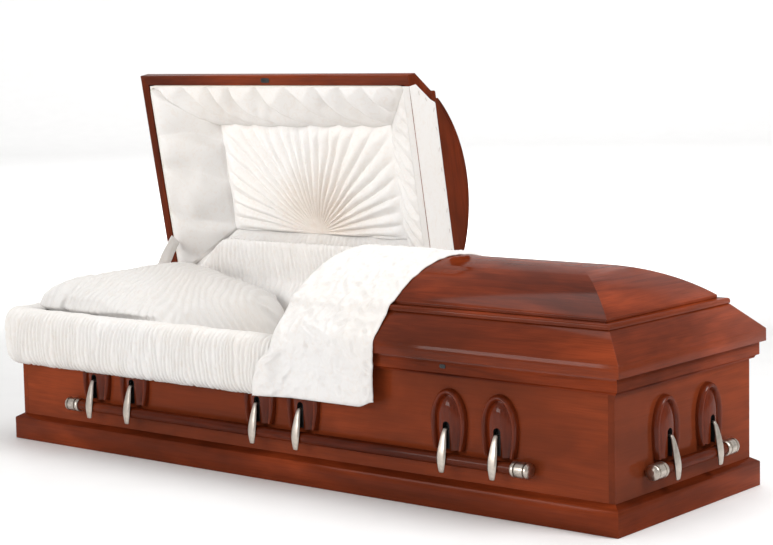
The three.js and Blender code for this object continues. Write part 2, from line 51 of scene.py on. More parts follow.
# Sizes shared by several pieces, as in the frame
PANEL_X, PANEL_Y = 1.035, 0.3125
BASE_X, BASE_Y = 1.055, 0.3325
RIM_X, RIM_Y, RIM_Z = 1.054, 0.3315, 0.371
LID_X, LID_Y, LID_Z = 1.0665, 0.344, 0.3725
SLOPE_FOOT, SLOPE_TOP, BEAD_TOP = 0.4045, 0.472, 0.4857
CROWN_INSET, CROWN_FOOT, SPRINGING = 0.090, 0.486, 0.494
CROWN_RADIUS, CROWN_CENTRE = 0.40342, 0.1806
HEAD_CUT, FOOT_CUT = 0.008, 0.022
OPEN_ANGLE = math.radians(80)
OPEN = (
    Matrix.Translation((0, LID_Y, LID_Z))
    @ Matrix.Rotation(-OPEN_ANGLE, 4, "X")
    @ Matrix.Translation((0, -LID_Y, -LID_Z))
)


# ---- smooth noise on a lattice, the same on every run ----
TABLE = np.random.default_rng(11).uniform(-1, 1, (256, 256))


def noise2(x, y, seed=0):
    x, y = np.broadcast_arrays(np.asarray(x, float) + 31.7 * seed, np.asarray(y, float) + 12.9 * seed)
    i, j = np.floor(x).astype(int), np.floor(y).astype(int)
    fx, fy = x - i, y - j
    fx, fy = fx * fx * (3 - 2 * fx), fy * fy * (3 - 2 * fy)
    a, b = TABLE[i % 256, j % 256], TABLE[(i + 1) % 256, j % 256]
    c, d = TABLE[i % 256, (j + 1) % 256], TABLE[(i + 1) % 256, (j + 1) % 256]
    return (a * (1 - fx) + b * fx) * (1 - fy) + (c * (1 - fx) + d * fx) * fy


def crinkle(x, y, size, seed=0):
    """Crepe's short rounded wrinkles, from -1 to 1, about size apart."""
    wx = x / size + 0.7 * noise2(x / size / 2.3, y / size / 2.3, seed + 3)
    wy = y / size + 0.7 * noise2(x / size / 2.1, y / size / 2.1, seed + 7)
    return 1 - 2.4 * np.abs(noise2(wx, wy, seed)) + 0.35 * noise2(2.2 * wx, 2.2 * wy, seed + 1)


def puff(phase, sharp=0.6):
    """Rounded folds with narrow valleys, one for each whole number of phase."""
    return np.abs(np.sin(np.pi * phase)) ** sharp


def swag(phase, lead=0.68):
    """Leaning folds: a long rounded rise and a short fall, one for each whole number of phase."""
    s = phase - np.floor(phase)
    rise = np.sin(np.pi / 2 * np.clip(s / lead, 0, 1))
    fall = np.cos(np.pi / 2 * np.clip((s - lead) / (1 - lead), 0, 1))
    return np.where(s < lead, rise, fall)


def smooth(x, a, b):
    t = np.clip((x - a) / (b - a), 0, 1)
    return t * t * (3 - 2 * t)


# ---- meshes ----
def new_piece(name, verts, faces, mats, face_mats=None, sharp=30):
    mesh = bpy.data.meshes.new(name)
    mesh.from_pydata([tuple(v) for v in verts], [], [tuple(f) for f in faces])
    for m in mats:
        mesh.materials.append(m)
    if face_mats is not None:
        mesh.polygons.foreach_set("material_index", np.asarray(face_mats, np.int32))
    mesh.validate()
    mesh.shade_smooth()
    if sharp:
        mesh.set_sharp_from_angle(angle=math.radians(sharp))
    obj = bpy.data.objects.new(name, mesh)
    scene.collection.objects.link(obj)
    return obj


def settle(obj):
    """Applies the piece's modifiers to its mesh."""
    bpy.context.view_layer.update()
    graph = bpy.context.evaluated_depsgraph_get()
    mesh = bpy.data.meshes.new_from_object(obj.evaluated_get(graph), depsgraph=graph)
    obj.modifiers.clear()
    obj.data = mesh
    return obj


def outward(obj):
    """Turns a closed mesh's faces so that they face out."""
    bm = bmesh.new()
    bm.from_mesh(obj.data)
    bmesh.ops.recalc_face_normals(bm, faces=bm.faces)
    if bm.calc_volume(signed=True) < 0:
        bmesh.ops.reverse_faces(bm, faces=bm.faces)
    bm.to_mesh(obj.data)
    bm.free()
    return obj


def modified(obj, kind, **settings):
    """Applies one modifier to the piece's mesh."""
    change = obj.modifiers.new(kind.lower(), kind)
    for key, value in settings.items():
        setattr(change, key, value)
    return settle(obj)


def edged(obj, width=0.0009):
    """Rounds the piece's sharp edges."""
    outward(obj)
    limit = dict(limit_method="ANGLE", angle_limit=math.radians(28))
    modified(obj, "BEVEL", width=width, segments=2, harden_normals=False, **limit)
    obj.data.shade_smooth()
    obj.data.set_sharp_from_angle(angle=math.radians(32))
    return obj


def grid_faces(nu, nv, wrap=False):
    i, j = np.meshgrid(np.arange(nu if wrap else nu - 1), np.arange(nv - 1), indexing="ij")
    k = (i + 1) % nu
    return np.stack([i * nv + j, k * nv + j, k * nv + j + 1, i * nv + j + 1], -1).reshape(-1, 4)


def ring_faces(rings, n):
    """Faces between loops of n points each, one loop after another."""
    return [
        (s * n + i, s * n + (i + 1) % n, (s + 1) * n + (i + 1) % n, (s + 1) * n + i)
        for s in range(rings - 1)
        for i in range(n)
    ]


def lofted(name, loops, mat, sharp=30):
    """A closed piece through loops of points, with a face over its first loop and its last."""
    n = len(loops[0])
    verts = [point for loop in loops for point in loop]
    ends = [tuple(range(n)), tuple(range(len(verts) - n, len(verts)))]
    return outward(new_piece(name, verts, ring_faces(len(loops), n) + ends, [mat], sharp=sharp))


def normals(p, wrap=False):
    du = np.roll(p, -1, 0) - np.roll(p, 1, 0) if wrap else np.gradient(p, axis=0)
    n = np.cross(du, np.gradient(p, axis=1))
    return n / np.maximum(np.linalg.norm(n, axis=-1, keepdims=True), 1e-12)


def cloth_piece(name, p, amount=None, thick=0.0016, side=1, wrap=False, mat=None):
    """A sheet through a grid of points, moved out along its normals by amount, and given a thickness."""
    if amount is not None:
        p = p + normals(p, wrap) * (side * amount)[..., None]
    obj = new_piece(name, p.reshape(-1, 3), grid_faces(*p.shape[:2], wrap), [mat or CREPE], sharp=0)
    outward(modified(obj, "SOLIDIFY", thickness=thick, offset=-side))
    obj.data.shade_smooth()
    return obj


def polyline(points, count, soften=0):
    """Points spread evenly along a line of corners, with the corners softened over a length."""
    p = np.asarray(points, float)
    s = np.concatenate([[0], np.cumsum(np.linalg.norm(np.diff(p, axis=0), axis=1))])
    spots = 1500
    fine = np.linspace(0, s[-1], spots)
    q = np.stack([np.interp(fine, s, p[:, k]) for k in range(p.shape[1])], 1)
    w = int(round(soften / s[-1] * spots / 2))
    if w:
        pad = np.concatenate([np.repeat(q[:1], w, 0), q, np.repeat(q[-1:], w, 0)])
        csum = np.cumsum(np.concatenate([np.zeros((1, q.shape[1])), pad]), 0)
        r = (csum[2 * w + 1 :] - csum[: -2 * w - 1]) / (2 * w + 1)
        e = np.minimum(np.arange(spots), np.arange(spots)[::-1])
        k = np.clip(e / w, 0, 1)[:, None]
        q = r * k + q * (1 - k)
    s = np.concatenate([[0], np.cumsum(np.linalg.norm(np.diff(q, axis=0), axis=1))])
    at = np.linspace(0, s[-1], count)
    return np.stack([np.interp(at, s, q[:, k]) for k in range(q.shape[1])], 1), at


def hang(obj, body, replaced=None):
    """Attaches a cloth to its body, and hides the part that it replaces."""
    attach(obj, body)
    if replaced:
        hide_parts(replaced)


# ---- materials ----
def material(name, **fixed):
    m = bpy.data.materials.new(name)
    m.use_nodes = True
    shader = m.node_tree.nodes["Principled BSDF"]
    for key, value in fixed.items():
        shader.inputs[key.replace("_", " ")].default_value = value
    return m, m.node_tree, shader


def node(tree, kind, inputs=(), **settings):
    made = tree.nodes.new(kind)
    for key, value in settings.items():
        setattr(made, key, value)
    for key, value in dict(inputs).items():
        if isinstance(value, bpy.types.NodeSocket):
            tree.links.new(value, made.inputs[key])
        else:
            made.inputs[key].default_value = value
    return made


def object_coords(tree):
    return node(tree, "ShaderNodeTexCoord").outputs["Object"]


def stretched_noise(tree, coords, scale, detail=5, rough=0.55, distortion=0.0):
    mapped = node(tree, "ShaderNodeMapping", {"Vector": coords, "Scale": scale}).outputs[0]
    inputs = {"Vector": mapped, "Scale": 1, "Detail": detail, "Roughness": rough, "Distortion": distortion}
    return node(tree, "ShaderNodeTexNoise", inputs).outputs[0]


def ramp(tree, value, stops):
    made = node(tree, "ShaderNodeValToRGB", {"Fac": value})
    band = made.color_ramp
    for i, (place, colour) in enumerate(stops):
        stop = band.elements[i] if i < 2 else band.elements.new(place)
        stop.position = place
        stop.color = (*colour, 1)
    return made.outputs[0]


def mix(tree, kind, share, a, b):
    a, b = (v if isinstance(v, bpy.types.NodeSocket) else (*v, 1) for v in (a, b))
    inputs = {0: share, 6: a, 7: b}
    return node(tree, "ShaderNodeMix", inputs, data_type="RGBA", blend_type=kind).outputs[2]


def calc(tree, kind, *values):
    return node(tree, "ShaderNodeMath", dict(enumerate(values)), operation=kind).outputs[0]


def bump(tree, height, strength, distance, **below):
    """A bump, over the Normal below it where one is given."""
    inputs = dict(below, Height=height, Strength=strength, Distance=distance)
    return node(tree, "ShaderNodeBump", inputs).outputs[0]


def connect(tree, shader, colour, roughness, normal=None):
    tree.links.new(colour, shader.inputs["Base Color"])
    tree.links.new(roughness, shader.inputs["Roughness"])
    if normal is not None:
        tree.links.new(normal, shader.inputs["Normal"])


def grey(v):
    return (v, v, v)


def shade(colour, share):
    return tuple(c * share for c in colour)


def wood(name, axis, tone=1.0, lean=0.0, coat=0.15):
    """Polished cherry-red wood with its grain along one axis, for a piece that leans about X by an angle."""
    m, t, shader = material(name, Coat_Weight=coat, Coat_Roughness=0.09, Coat_IOR=1.5, Specular_IOR_Level=0.0)
    where = node(t, "ShaderNodeMapping", {"Vector": object_coords(t), "Rotation": (lean, 0, 0)}).outputs[0]

    def scale(along, across):
        return tuple(along if k == axis else across for k in range(3))

    figure = stretched_noise(t, where, scale(0.9, 7.5), 3, 0.5, 0.7)
    rings = calc(t, "MULTIPLY_ADD", calc(t, "SINE", calc(t, "MULTIPLY", figure, 46.0)), 0.5, 0.5)
    clouds = stretched_noise(t, where, scale(1.6, 5.0), 4, 0.6, 0.3)
    fibres = stretched_noise(t, where, scale(9.0, 420.0), 3, 0.6, 0.1)
    dark = shade((0.040, 0.0050, 0.0015), tone)
    middle = shade((0.124, 0.0170, 0.0040), tone)
    light = shade((0.275, 0.0430, 0.0105), tone)
    base = ramp(t, clouds, [(0.30, dark), (0.70, light), (0.5, middle)])
    lines = ramp(t, rings, [(0.0, grey(0.62)), (0.55, grey(1.0))])
    base = mix(t, "MULTIPLY", 0.55, base, lines)
    pores = ramp(t, fibres, [(0.36, grey(0.55)), (0.56, grey(1.0))])
    base = mix(t, "MULTIPLY", 0.6, base, pores)
    # The wood is lightened along its sharp convex edges.
    edge = node(t, "ShaderNodeNewGeometry").outputs["Pointiness"]
    lighter_edges = ramp(t, edge, [(0.50, grey(0.0)), (0.62, grey(0.35))])
    base = mix(t, "MIX", lighter_edges, base, shade((0.27, 0.060, 0.022), tone))
    shine = ramp(t, clouds, [(0.3, grey(0.30)), (0.7, grey(0.44))])
    height = mix(t, "MIX", 0.35, fibres, clouds)
    connect(t, shader, base, shine, bump(t, height, 0.10, 0.0006))
    return m


def crepe(name, colour=(0.855, 0.84, 0.825), grain=1.0, rumpled=0.16, warm_shade_at=None):
    """Ivory crepe: a pebbled crinkle over a fine weave, with a soft sheen."""
    m, t, shader = material(name, Sheen_Weight=0.25, Sheen_Roughness=0.45, Specular_IOR_Level=0.35)
    where = object_coords(t)
    pebbles = stretched_noise(t, where, grey(150 * grain), 3, 0.6, 1.2)
    wrinkles = stretched_noise(t, where, (62 * grain, 80 * grain, 50 * grain), 3, 0.55, 1.2)
    weave = stretched_noise(t, where, grey(1300), 1, 0.5, 0.0)
    drift = stretched_noise(t, where, grey(3.2), 2, 0.5, 0.0)
    warm = tuple(c * k for c, k in zip(colour, (0.985, 0.965, 0.94)))
    base = ramp(t, drift, [(0.35, warm), (0.65, colour)])
    # Painted shade: the crepe is darker and warmer in the valleys of its wrinkle noise, for the shade between
    # folds.
    crease_shade = ramp(t, wrinkles, [(0.34, (0.975, 0.945, 0.920)), (0.5, grey(1.0))])
    base = mix(t, "MULTIPLY", 0.8, base, crease_shade)
    # Painted shade: the crepe turns warmer and darker around a given point, the sunburst's hub low on the
    # open lid behind the pillow.
    if warm_shade_at:
        away = node(t, "ShaderNodeVectorMath", {0: where, 1: warm_shade_at}, operation="DISTANCE").outputs["Value"]
        near = ramp(t, away, [(0.04, (1.0, 0.80, 0.64)), (0.24, grey(1.0))])
        base = mix(t, "MULTIPLY", 0.30, base, near)
    shine = ramp(t, pebbles, [(0.3, grey(0.50)), (0.7, grey(0.66))])
    low = bump(t, wrinkles, rumpled, 0.0022)
    mid = bump(t, pebbles, 0.22, 0.0008, Normal=low)
    connect(t, shader, base, shine, bump(t, weave, 0.20, 0.0003, Normal=mid))
    return m


def metal(name, colour, dull):
    """Antiqued nickel: bright on its edges, darker in its hollows."""
    m, t, shader = material(name, Metallic=1.0)
    where = object_coords(t)
    tarnish = stretched_noise(t, where, grey(60), 4, 0.6, 0.6)
    brushing = stretched_noise(t, where, (260, 260, 1600), 2, 0.5, 0.0)
    edge = node(t, "ShaderNodeNewGeometry").outputs["Pointiness"]
    base = ramp(t, tarnish, [(0.3, shade(colour, 0.68)), (0.65, colour)])
    hollow = ramp(t, edge, [(0.42, grey(0.30)), (0.52, grey(1.0))])
    base = mix(t, "MULTIPLY", 0.85, base, hollow)
    shine = ramp(t, tarnish, [(0.3, grey(dull + 0.10)), (0.7, grey(dull))])
    connect(t, shader, base, shine, bump(t, brushing, 0.08, 0.0003))
    return m


# Near black: the dark plates' own colour, and painted shade on the walls of the lugs' slots.
def black_finish_and_slot_shade(name):
    m, t, shader = material(name)
    where = object_coords(t)
    dust = stretched_noise(t, where, grey(300), 3, 0.6, 0.0)
    colour = ramp(t, dust, [(0.3, grey(0.004)), (0.7, grey(0.012))])
    connect(t, shader, colour, ramp(t, dust, [(0.3, grey(0.45)), (0.7, grey(0.7))]))
    return m


WOOD_X = wood("cherry_along_x", 0)
WOOD_Y = wood("cherry_along_y", 1)
WOOD_Z = wood("cherry_along_z", 2, 1.0, coat=0.42)
WOOD_ROD = wood("dark_rod", 0, 0.68, coat=0.26)
WOOD_LID_X = wood("cherry_lid_along_x", 0, 1.0, coat=0.3)
# Painted light: the foot lid's pieces along Y, whose end faces the light, use a lighter copy of the wood
# (tone 1.12).
WOOD_LID_Y_LIGHTENED = wood("cherry_lid_along_y_lightened", 1, 1.12, coat=0.3)
WOOD_LEAN = wood("cherry_open_lid", 1, 1.0, OPEN_ANGLE)
CREPE = crepe("ivory_crepe")
# Painted shade: the next two are darker copies of the same ivory crepe, for the brightly lit skirt, throw's
# end, stapled cloth and pillow.
DRAPE_SHADED = crepe("ivory_drape_shaded", (0.775, 0.762, 0.748), rumpled=0.22)
CUSHION_SHADED = crepe("ivory_cushion_shaded", (0.70, 0.688, 0.675), rumpled=0.22)
SATIN = crepe("ivory_piping", (0.86, 0.82, 0.75), 2.0)
QUILT = crepe("ivory_crinkle", (0.795, 0.781, 0.770), 1.1, 0.42)
# Painted light: the sunburst's crepe is a lighter copy of the same ivory crepe, for the shaded inside of the
# open lid.
BURST_LIGHTENED = crepe("ivory_sunburst_lightened", (0.925, 0.91, 0.895), warm_shade_at=(-0.47, 0.428, 0.56))
NICKEL = metal("antiqued_nickel", (0.56, 0.50, 0.44), 0.27)
DARK = black_finish_and_slot_shade("black_plates_and_slot_shade")


def paint(obj, mat):
    obj.data.materials.clear()
    obj.data.materials.append(mat)


# ---- wooden box ----
for name in ("front_panel", "back_panel", "bottom_board"):
    paint(nodes[name], WOOD_X)
for name in ("head_panel", "foot_panel"):
    paint(nodes[name], WOOD_Y)


def grain_of(body):
    """The two woods of a moulding, for its parts along X and along Y."""
    woods = {"head_lid": (WOOD_LID_X, WOOD_LEAN), "foot_lid": (WOOD_LID_X, WOOD_LID_Y_LIGHTENED)}
    return woods.get(body, (WOOD_X, WOOD_Y))


def fit_wood(obj, body, replaced):
    """Opens a piece of the head lid, gives each piece its body, and hides the node that it replaces."""
    if body == "head_lid":
        obj.data.transform(OPEN)
    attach(obj, body)
    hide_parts(replaced)


def run_piece(name, profile, corners, closed, body, replaced, edge=0.0009, ridge=None):
    """A profile of (inset, height) points carried from corner to corner. Each corner puts a point in place.

    At a ridge, the profile's point of that number, the two sides meet and the surface closes on itself."""
    count = len(profile)
    verts = [place(n, z) for place in corners for n, z in profile]
    faces, mats = [], []
    for s in range(len(corners) if closed else len(corners) - 1):
        a, b = s * count, ((s + 1) % len(corners)) * count
        along_y = abs(verts[a][0] - verts[b][0]) < abs(verts[a][1] - verts[b][1])
        for i in range(count):
            j = (i + 1) % count
            if i != ridge:
                faces.append((a + i, b + i, b + j, a + j))
                mats.append(1 if along_y else 0)
    if not closed:
        faces += [tuple(range(count)), tuple(range(len(verts) - count, len(verts)))]
        mats += [1, 1]
    obj = new_piece(name, verts, faces, grain_of(body), mats)
    if ridge:
        bm = bmesh.new()
        bm.from_mesh(obj.data)
        bmesh.ops.remove_doubles(bm, verts=bm.verts, dist=1e-5)
        bm.to_mesh(obj.data)
        bm.free()
    edged(obj, edge)
    if ridge:
        obj.data.set_sharp_from_angle(angle=math.radians(20))
    fit_wood(obj, body, replaced)


def ring_corners(half_x, half_y):
    def corner(sx, sy):
        return lambda n, z: (sx * (half_x - n), sy * (half_y - n), z)

    return [corner(-1, -1), corner(1, -1), corner(1, 1), corner(-1, 1)]


def lid_corners(cut, side):
    def corner(at_cut, sy):
        return lambda n, z: (cut if at_cut else side * (LID_X - n), sy * (LID_Y - n), z)

    return [corner(True, -1), corner(False, -1), corner(False, 1), corner(True, 1)]


base_profile = [(0, 0), (0, 0.060), (0.0012, 0.0628), (0.0197, 0.074), (0.0197, 0)]
base_ring, rim_ring = ring_corners(BASE_X, BASE_Y), ring_corners(RIM_X, RIM_Y)
run_piece("base_moulding_dressed", base_profile, base_ring, True, "casket", "base_moulding")
quarter = np.linspace(0, math.pi / 2, 6)
cove = [(0.0015 + 0.0075 * math.sin(a), 0.3375 - 0.0075 * (1 - math.cos(a))) for a in quarter]
top_profile = [(0, RIM_Z), (0, 0.339), *cove, (0.0187, 0.330), (0.0187, RIM_Z)]
run_piece("top_moulding_dressed", top_profile, rim_ring, True, "casket", "top_moulding")


def arc_points(radius, start_height, count):
    start = math.acos((start_height - CROWN_CENTRE) / radius)
    turns = [start * (1 - i / count) for i in range(count + 1)]
    return [(LID_Y - radius * math.sin(a), CROWN_CENTRE + radius * math.cos(a)) for a in turns]


# The vaulted crown, whose hipped end meets its sides in a ridge
outer_arc = arc_points(CROWN_RADIUS, SPRINGING, 26)
inner_arc = arc_points(CROWN_RADIUS - 0.012, CROWN_FOOT, 12)[::-1]
crown_profile = [(CROWN_INSET, CROWN_FOOT), *outer_arc, *inner_arc]
shelf = CROWN_INSET + 0.008
rim_profile = [(0, LID_Z), (0, SLOPE_FOOT - 0.001), (0.001, SLOPE_FOOT + 0.001), (0.069, SLOPE_TOP)]
rim_profile += [(shelf, SLOPE_TOP), (shelf, SLOPE_TOP - 0.011), (0.0893, SLOPE_TOP - 0.011)]
rim_profile += [(0.029, SLOPE_FOOT - 0.002), (0.029, LID_Z)]
bead_round = [(0.0660 + 0.0062 * (1 - math.cos(a)), 0.4790 + 0.0067 * math.sin(a)) for a in quarter]
bead_profile = [(0.0660, 0.4723), *bead_round, (shelf, BEAD_TOP), (shelf, 0.4723)]
for body, cut, side in (("head_lid", HEAD_CUT, -1), ("foot_lid", FOOT_CUT, 1)):
    corners = lid_corners(cut, side)
    run_piece(f"{body}_rim_dressed", rim_profile, corners, False, body, f"{body}_rim")
    run_piece(f"{body}_bead_dressed", bead_profile, corners, False, body, f"{body}_bead")
    crown = (f"{body}_crown_dressed", crown_profile, corners, False, body, f"{body}_crown")
    run_piece(*crown, edge=0.0012, ridge=len(outer_arc))
    paint(nodes[f"{body}_cut_board"], WOOD_LEAN if body == "head_lid" else WOOD_Y)


# ---- carrying bars, arms and lugs ----
def lathe(name, profile, segments, mat):
    """A turned piece along X, from (x, radius) points that start and end on the axis."""
    verts = [(profile[0][0], 0, 0)]
    for x, r in profile[1:-1]:
        turns = [2 * math.pi * k / segments for k in range(segments)]
        verts += [(x, r * math.cos(a), r * math.sin(a)) for a in turns]
    last = len(verts)
    verts.append((profile[-1][0], 0, 0))
    faces = [tuple(1 + i for i in f) for f in ring_faces(len(profile) - 2, segments)]
    for k in range(segments):
        n = (k + 1) % segments
        faces += [(0, 1 + k, 1 + n), (last - segments + k, last, last - segments + n)]
    obj = outward(new_piece(name, verts, faces, [mat], sharp=42))
    return obj


LUG_HALF, LUG_RISE, LUG_SPRING, LUG_FOOT = 0.054, 0.082, 0.218, 0.149
LUG_DROPS, LUG_TAPER = (0.02, 0.04, 0.055, LUG_SPRING - LUG_FOOT), 0.125
SLOT_HALF, SLOT_SPRING, SLOT_FLOOR = 0.0108, 0.2093, 0.0012
BAR_LONG, BAR_SHORT, BAR_OUT, BAR_HIGH = 1.63, 0.39, 0.0225, 0.128
ROD_RADIUS, TIP_LENGTH = 0.0147, 0.052


def lug_outline(inset, count=44):
    """An arch over two sides that draw in toward the foot, from one foot to the other."""
    half, rise = LUG_HALF - inset, LUG_RISE - inset
    turns = [math.pi * i / count for i in range(count + 1)]
    arch = [(half * math.cos(a), LUG_SPRING + rise * math.sin(a)) for a in turns]
    side = [(half * math.sqrt(1 - (d / LUG_TAPER) ** 2), LUG_SPRING - d) for d in LUG_DROPS]
    return side[::-1] + arch + [(-x, z) for x, z in side]


def lug_mesh():
    """A horseshoe bead around a gently domed plate, with an arched slot cut through the plate's foot."""
    # Each level has its inset from the outline and its height above the panel
    levels = [(0.0, 0.0), (0.0, 0.0055)]
    levels += [(0.0165 * k / 12, 0.0055 + 0.0105 * math.sin(math.pi * k / 12) ** 0.75) for k in range(1, 12)]
    levels += [(0.0170, 0.0056), (0.0180, 0.0058), (0.024, 0.0105)]
    levels += [(0.032, 0.0145), (0.041, 0.0166), (0.049, 0.0172)]
    verts, faces, loops = [], [], []
    for inset, height in levels:
        loop = [(x, -height, z) for x, z in lug_outline(inset)]
        loops.append(list(range(len(verts), len(verts) + len(loop))))
        verts += loop
    for a, b in zip(loops, loops[1:]):
        for i in range(len(a) - 1):
            faces.append((a[i], a[i + 1], b[i + 1], b[i]))
    foot = [l[0] for l in loops] + [l[-1] for l in reversed(loops)]
    faces += [tuple(loops[0]), tuple(loops[-1]), tuple(foot)]
    lug = outward(new_piece("lug_pattern", verts, faces, [WOOD_Z, DARK]))
    half = SLOT_HALF
    arch = [(half * math.cos(a), SLOT_SPRING + half * math.sin(a)) for a in np.linspace(0, math.pi, 15)]
    arch = [(half, 0.14), *arch, (-half, 0.14)]
    n = len(arch)
    cut_verts = [(x, y, z) for y in (-SLOT_FLOOR, -0.03) for x, z in arch]
    cut_faces = [tuple(range(n)), tuple(range(n, 2 * n)), *ring_faces(2, n)]
    cutter = outward(new_piece("slot_pattern", cut_verts, cut_faces, [DARK]))
    modified(lug, "BOOLEAN", object=cutter, operation="DIFFERENCE", solver="EXACT")
    bpy.data.objects.remove(cutter)
    # Painted shade: the slot's inner walls and floor take the near-black material, for the shade inside the
    # slot.
    for f in lug.data.polygons:
        c, d = f.center, f.normal
        inside = abs(c.x) < SLOT_HALF + 0.0002 and c.z < SLOT_SPRING + SLOT_HALF + 0.0003
        f.material_index = 1 if inside and (d.y > -0.5 or c.y > -0.002) and c.z > LUG_FOOT + 0.0002 else 0
    lug.data.shade_smooth()
    lug.data.set_sharp_from_angle(angle=math.radians(38))
    mesh = lug.data
    bpy.data.objects.remove(lug)
    return mesh


def arm_mesh():
    """A faceted blade with a flat face between chamfered sides: out of the slot, over the bar and down to a
    blunt tip.
    """
    out = (0.0105, 0.016, 0.0212, 0.0252, 0.0287, 0.0327, 0.0364, 0.039, 0.0398, 0.0394, 0.0388, 0.0384)
    high = (0.2, 0.202, 0.201, 0.194, 0.182, 0.166, 0.15, 0.135, 0.122, 0.108, 0.0992, 0.0978)
    half = (0.004, 0.0048, 0.0058, 0.007, 0.0092, 0.0116, 0.0133, 0.0136, 0.0126, 0.0098, 0.0078, 0.0068)
    thick = (0.005, 0.0056, 0.0062, 0.0062, 0.0074, 0.0078, 0.0078, 0.0078, 0.0076, 0.0072, 0.0062, 0.0048)
    section = [(-1, 0.1), (-0.66, 0.5), (0.66, 0.5), (1, 0.1), (0.85, -0.4), (-0.85, -0.4)]
    tangents = np.gradient(np.array([out, high]).T, axis=0)
    loops = []
    for o, z, w, t, (dx, dz) in zip(out, high, half, thick, tangents):
        length = math.hypot(dx, dz)
        nx, nz = -dz / length, dx / length
        loops.append([(a * w, -(o + nx * b * t), z + nz * b * t) for a, b in section])
    arm = edged(lofted("arm_pattern", loops, NICKEL), 0.0004)
    mesh = arm.data
    bpy.data.objects.remove(arm)
    return mesh


def tip_profile(length):
    """A turned tip with ringed grooves and a domed end, measured from the bar's shoulder."""
    shape = [(-0.002, 0.0), (-0.002, 0.0172), (0.000, 0.0192), (0.004, 0.0200), (0.008, 0.0192)]
    shape += [(0.0092, 0.0158), (0.0118, 0.0158), (0.0130, 0.0192), (0.0240, 0.0197), (0.0355, 0.0192)]
    shape += [(0.0367, 0.0158), (0.0393, 0.0158), (0.0405, 0.0194), (0.0440, 0.0197), (0.0475, 0.0180)]
    shape += [(0.0500, 0.0142), (0.0515, 0.0085), (TIP_LENGTH, 0.0)]
    return [(length / 2 - TIP_LENGTH + x, r) for x, r in shape]


LUG, ARM = lug_mesh(), arm_mesh()
long_places = [c + s for c in (-0.633, 0, 0.633) for s in (-0.077, 0.077)]
short_places = [-0.1, 0.1]
for side_name, length, places, face, turn in (
    ("front", BAR_LONG, long_places, PANEL_Y, 0),
    ("back", BAR_LONG, long_places, PANEL_Y, math.pi),
    ("foot", BAR_SHORT, short_places, PANEL_X, math.pi / 2),
    ("head", BAR_SHORT, short_places, PANEL_X, -math.pi / 2),
):
    turned = Matrix.Rotation(turn, 4, "Z")
    carrier = f"{side_name}_carrier"
    for i, x in enumerate(places, 1):
        for kind, mesh, slot_name, body, gap in (
            ("lug", LUG, "wood", "casket", 0.0003),
            ("arm", ARM, "nickel", carrier, 0.0),
        ):
            obj = bpy.data.objects.new(f"{side_name}_{kind}_{i}_dressed", mesh)
            scene.collection.objects.link(obj)
            obj.matrix_world = turned @ Matrix.Translation((x, -face - gap, 0))
            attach(obj, body)
            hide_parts(f"{side_name}_{kind}_{i}")
    at = turned @ Matrix.Translation((0, -face - BAR_OUT, BAR_HIGH))
    end = length / 2 - TIP_LENGTH
    steps = [(k * end, ROD_RADIUS) for k in (-0.75, -0.5, -0.25, 0, 0.25, 0.5, 0.75)]
    stop = end + 0.003
    rod_shape = [(-stop, 0), (-stop, 0.0145), *steps, (stop, 0.0145), (stop, 0)]
    rod = lathe(f"{side_name}_rod", rod_shape, 40, WOOD_ROD)
    rod.matrix_world = at
    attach(rod, carrier)
    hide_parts(f"{side_name}_bar")
    for k, flip in (("a", 0), ("b", math.pi)):
        tip = lathe(f"{side_name}_tip_{k}", tip_profile(length), 40, NICKEL)
        tip.matrix_world = at @ Matrix.Rotation(flip, 4, "Z")
        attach(tip, carrier)


# ---- linings of the lids ----
def lid_place(side):
    """Turns (along, up from the hinge, depth behind the rim) into place for either lid."""
    def place(x, up, depth):
        c, s = (math.cos(OPEN_ANGLE), math.sin(OPEN_ANGLE)) if side < 0 else (1, 0)
        return np.stack([x, LID_Y - up * c + depth * s, LID_Z + up * s + depth * c], -1)

    return place


def tube(name, points, radius, mat, sides=8):
    """A closed round cord through a loop of points."""
    p = np.asarray(points, float)
    d = np.roll(p, -1, 0) - np.roll(p, 1, 0)
    d /= np.linalg.norm(d, axis=1, keepdims=True)
    ref = np.cross(d, np.roll(d, 5, 0) + (0.3, 0.2, 0.9))
    ref /= np.linalg.norm(ref, axis=1, keepdims=True)
    other = np.cross(d, ref)
    a = np.linspace(0, 2 * math.pi, sides, endpoint=False)
    spokes = ref[:, None] * np.cos(a)[None, :, None] + other[:, None] * np.sin(a)[None, :, None]
    q = p[:, None] + radius * spokes
    faces = []
    for i in range(len(p)):
        here, next_ = i * sides, (i + 1) % len(p) * sides
        for j in range(sides):
            k = (j + 1) % sides
            faces.append((here + j, next_ + j, next_ + k, here + k))
    obj = outward(new_piece(name, q.reshape(-1, 3), faces, [mat], sharp=0))
    return obj


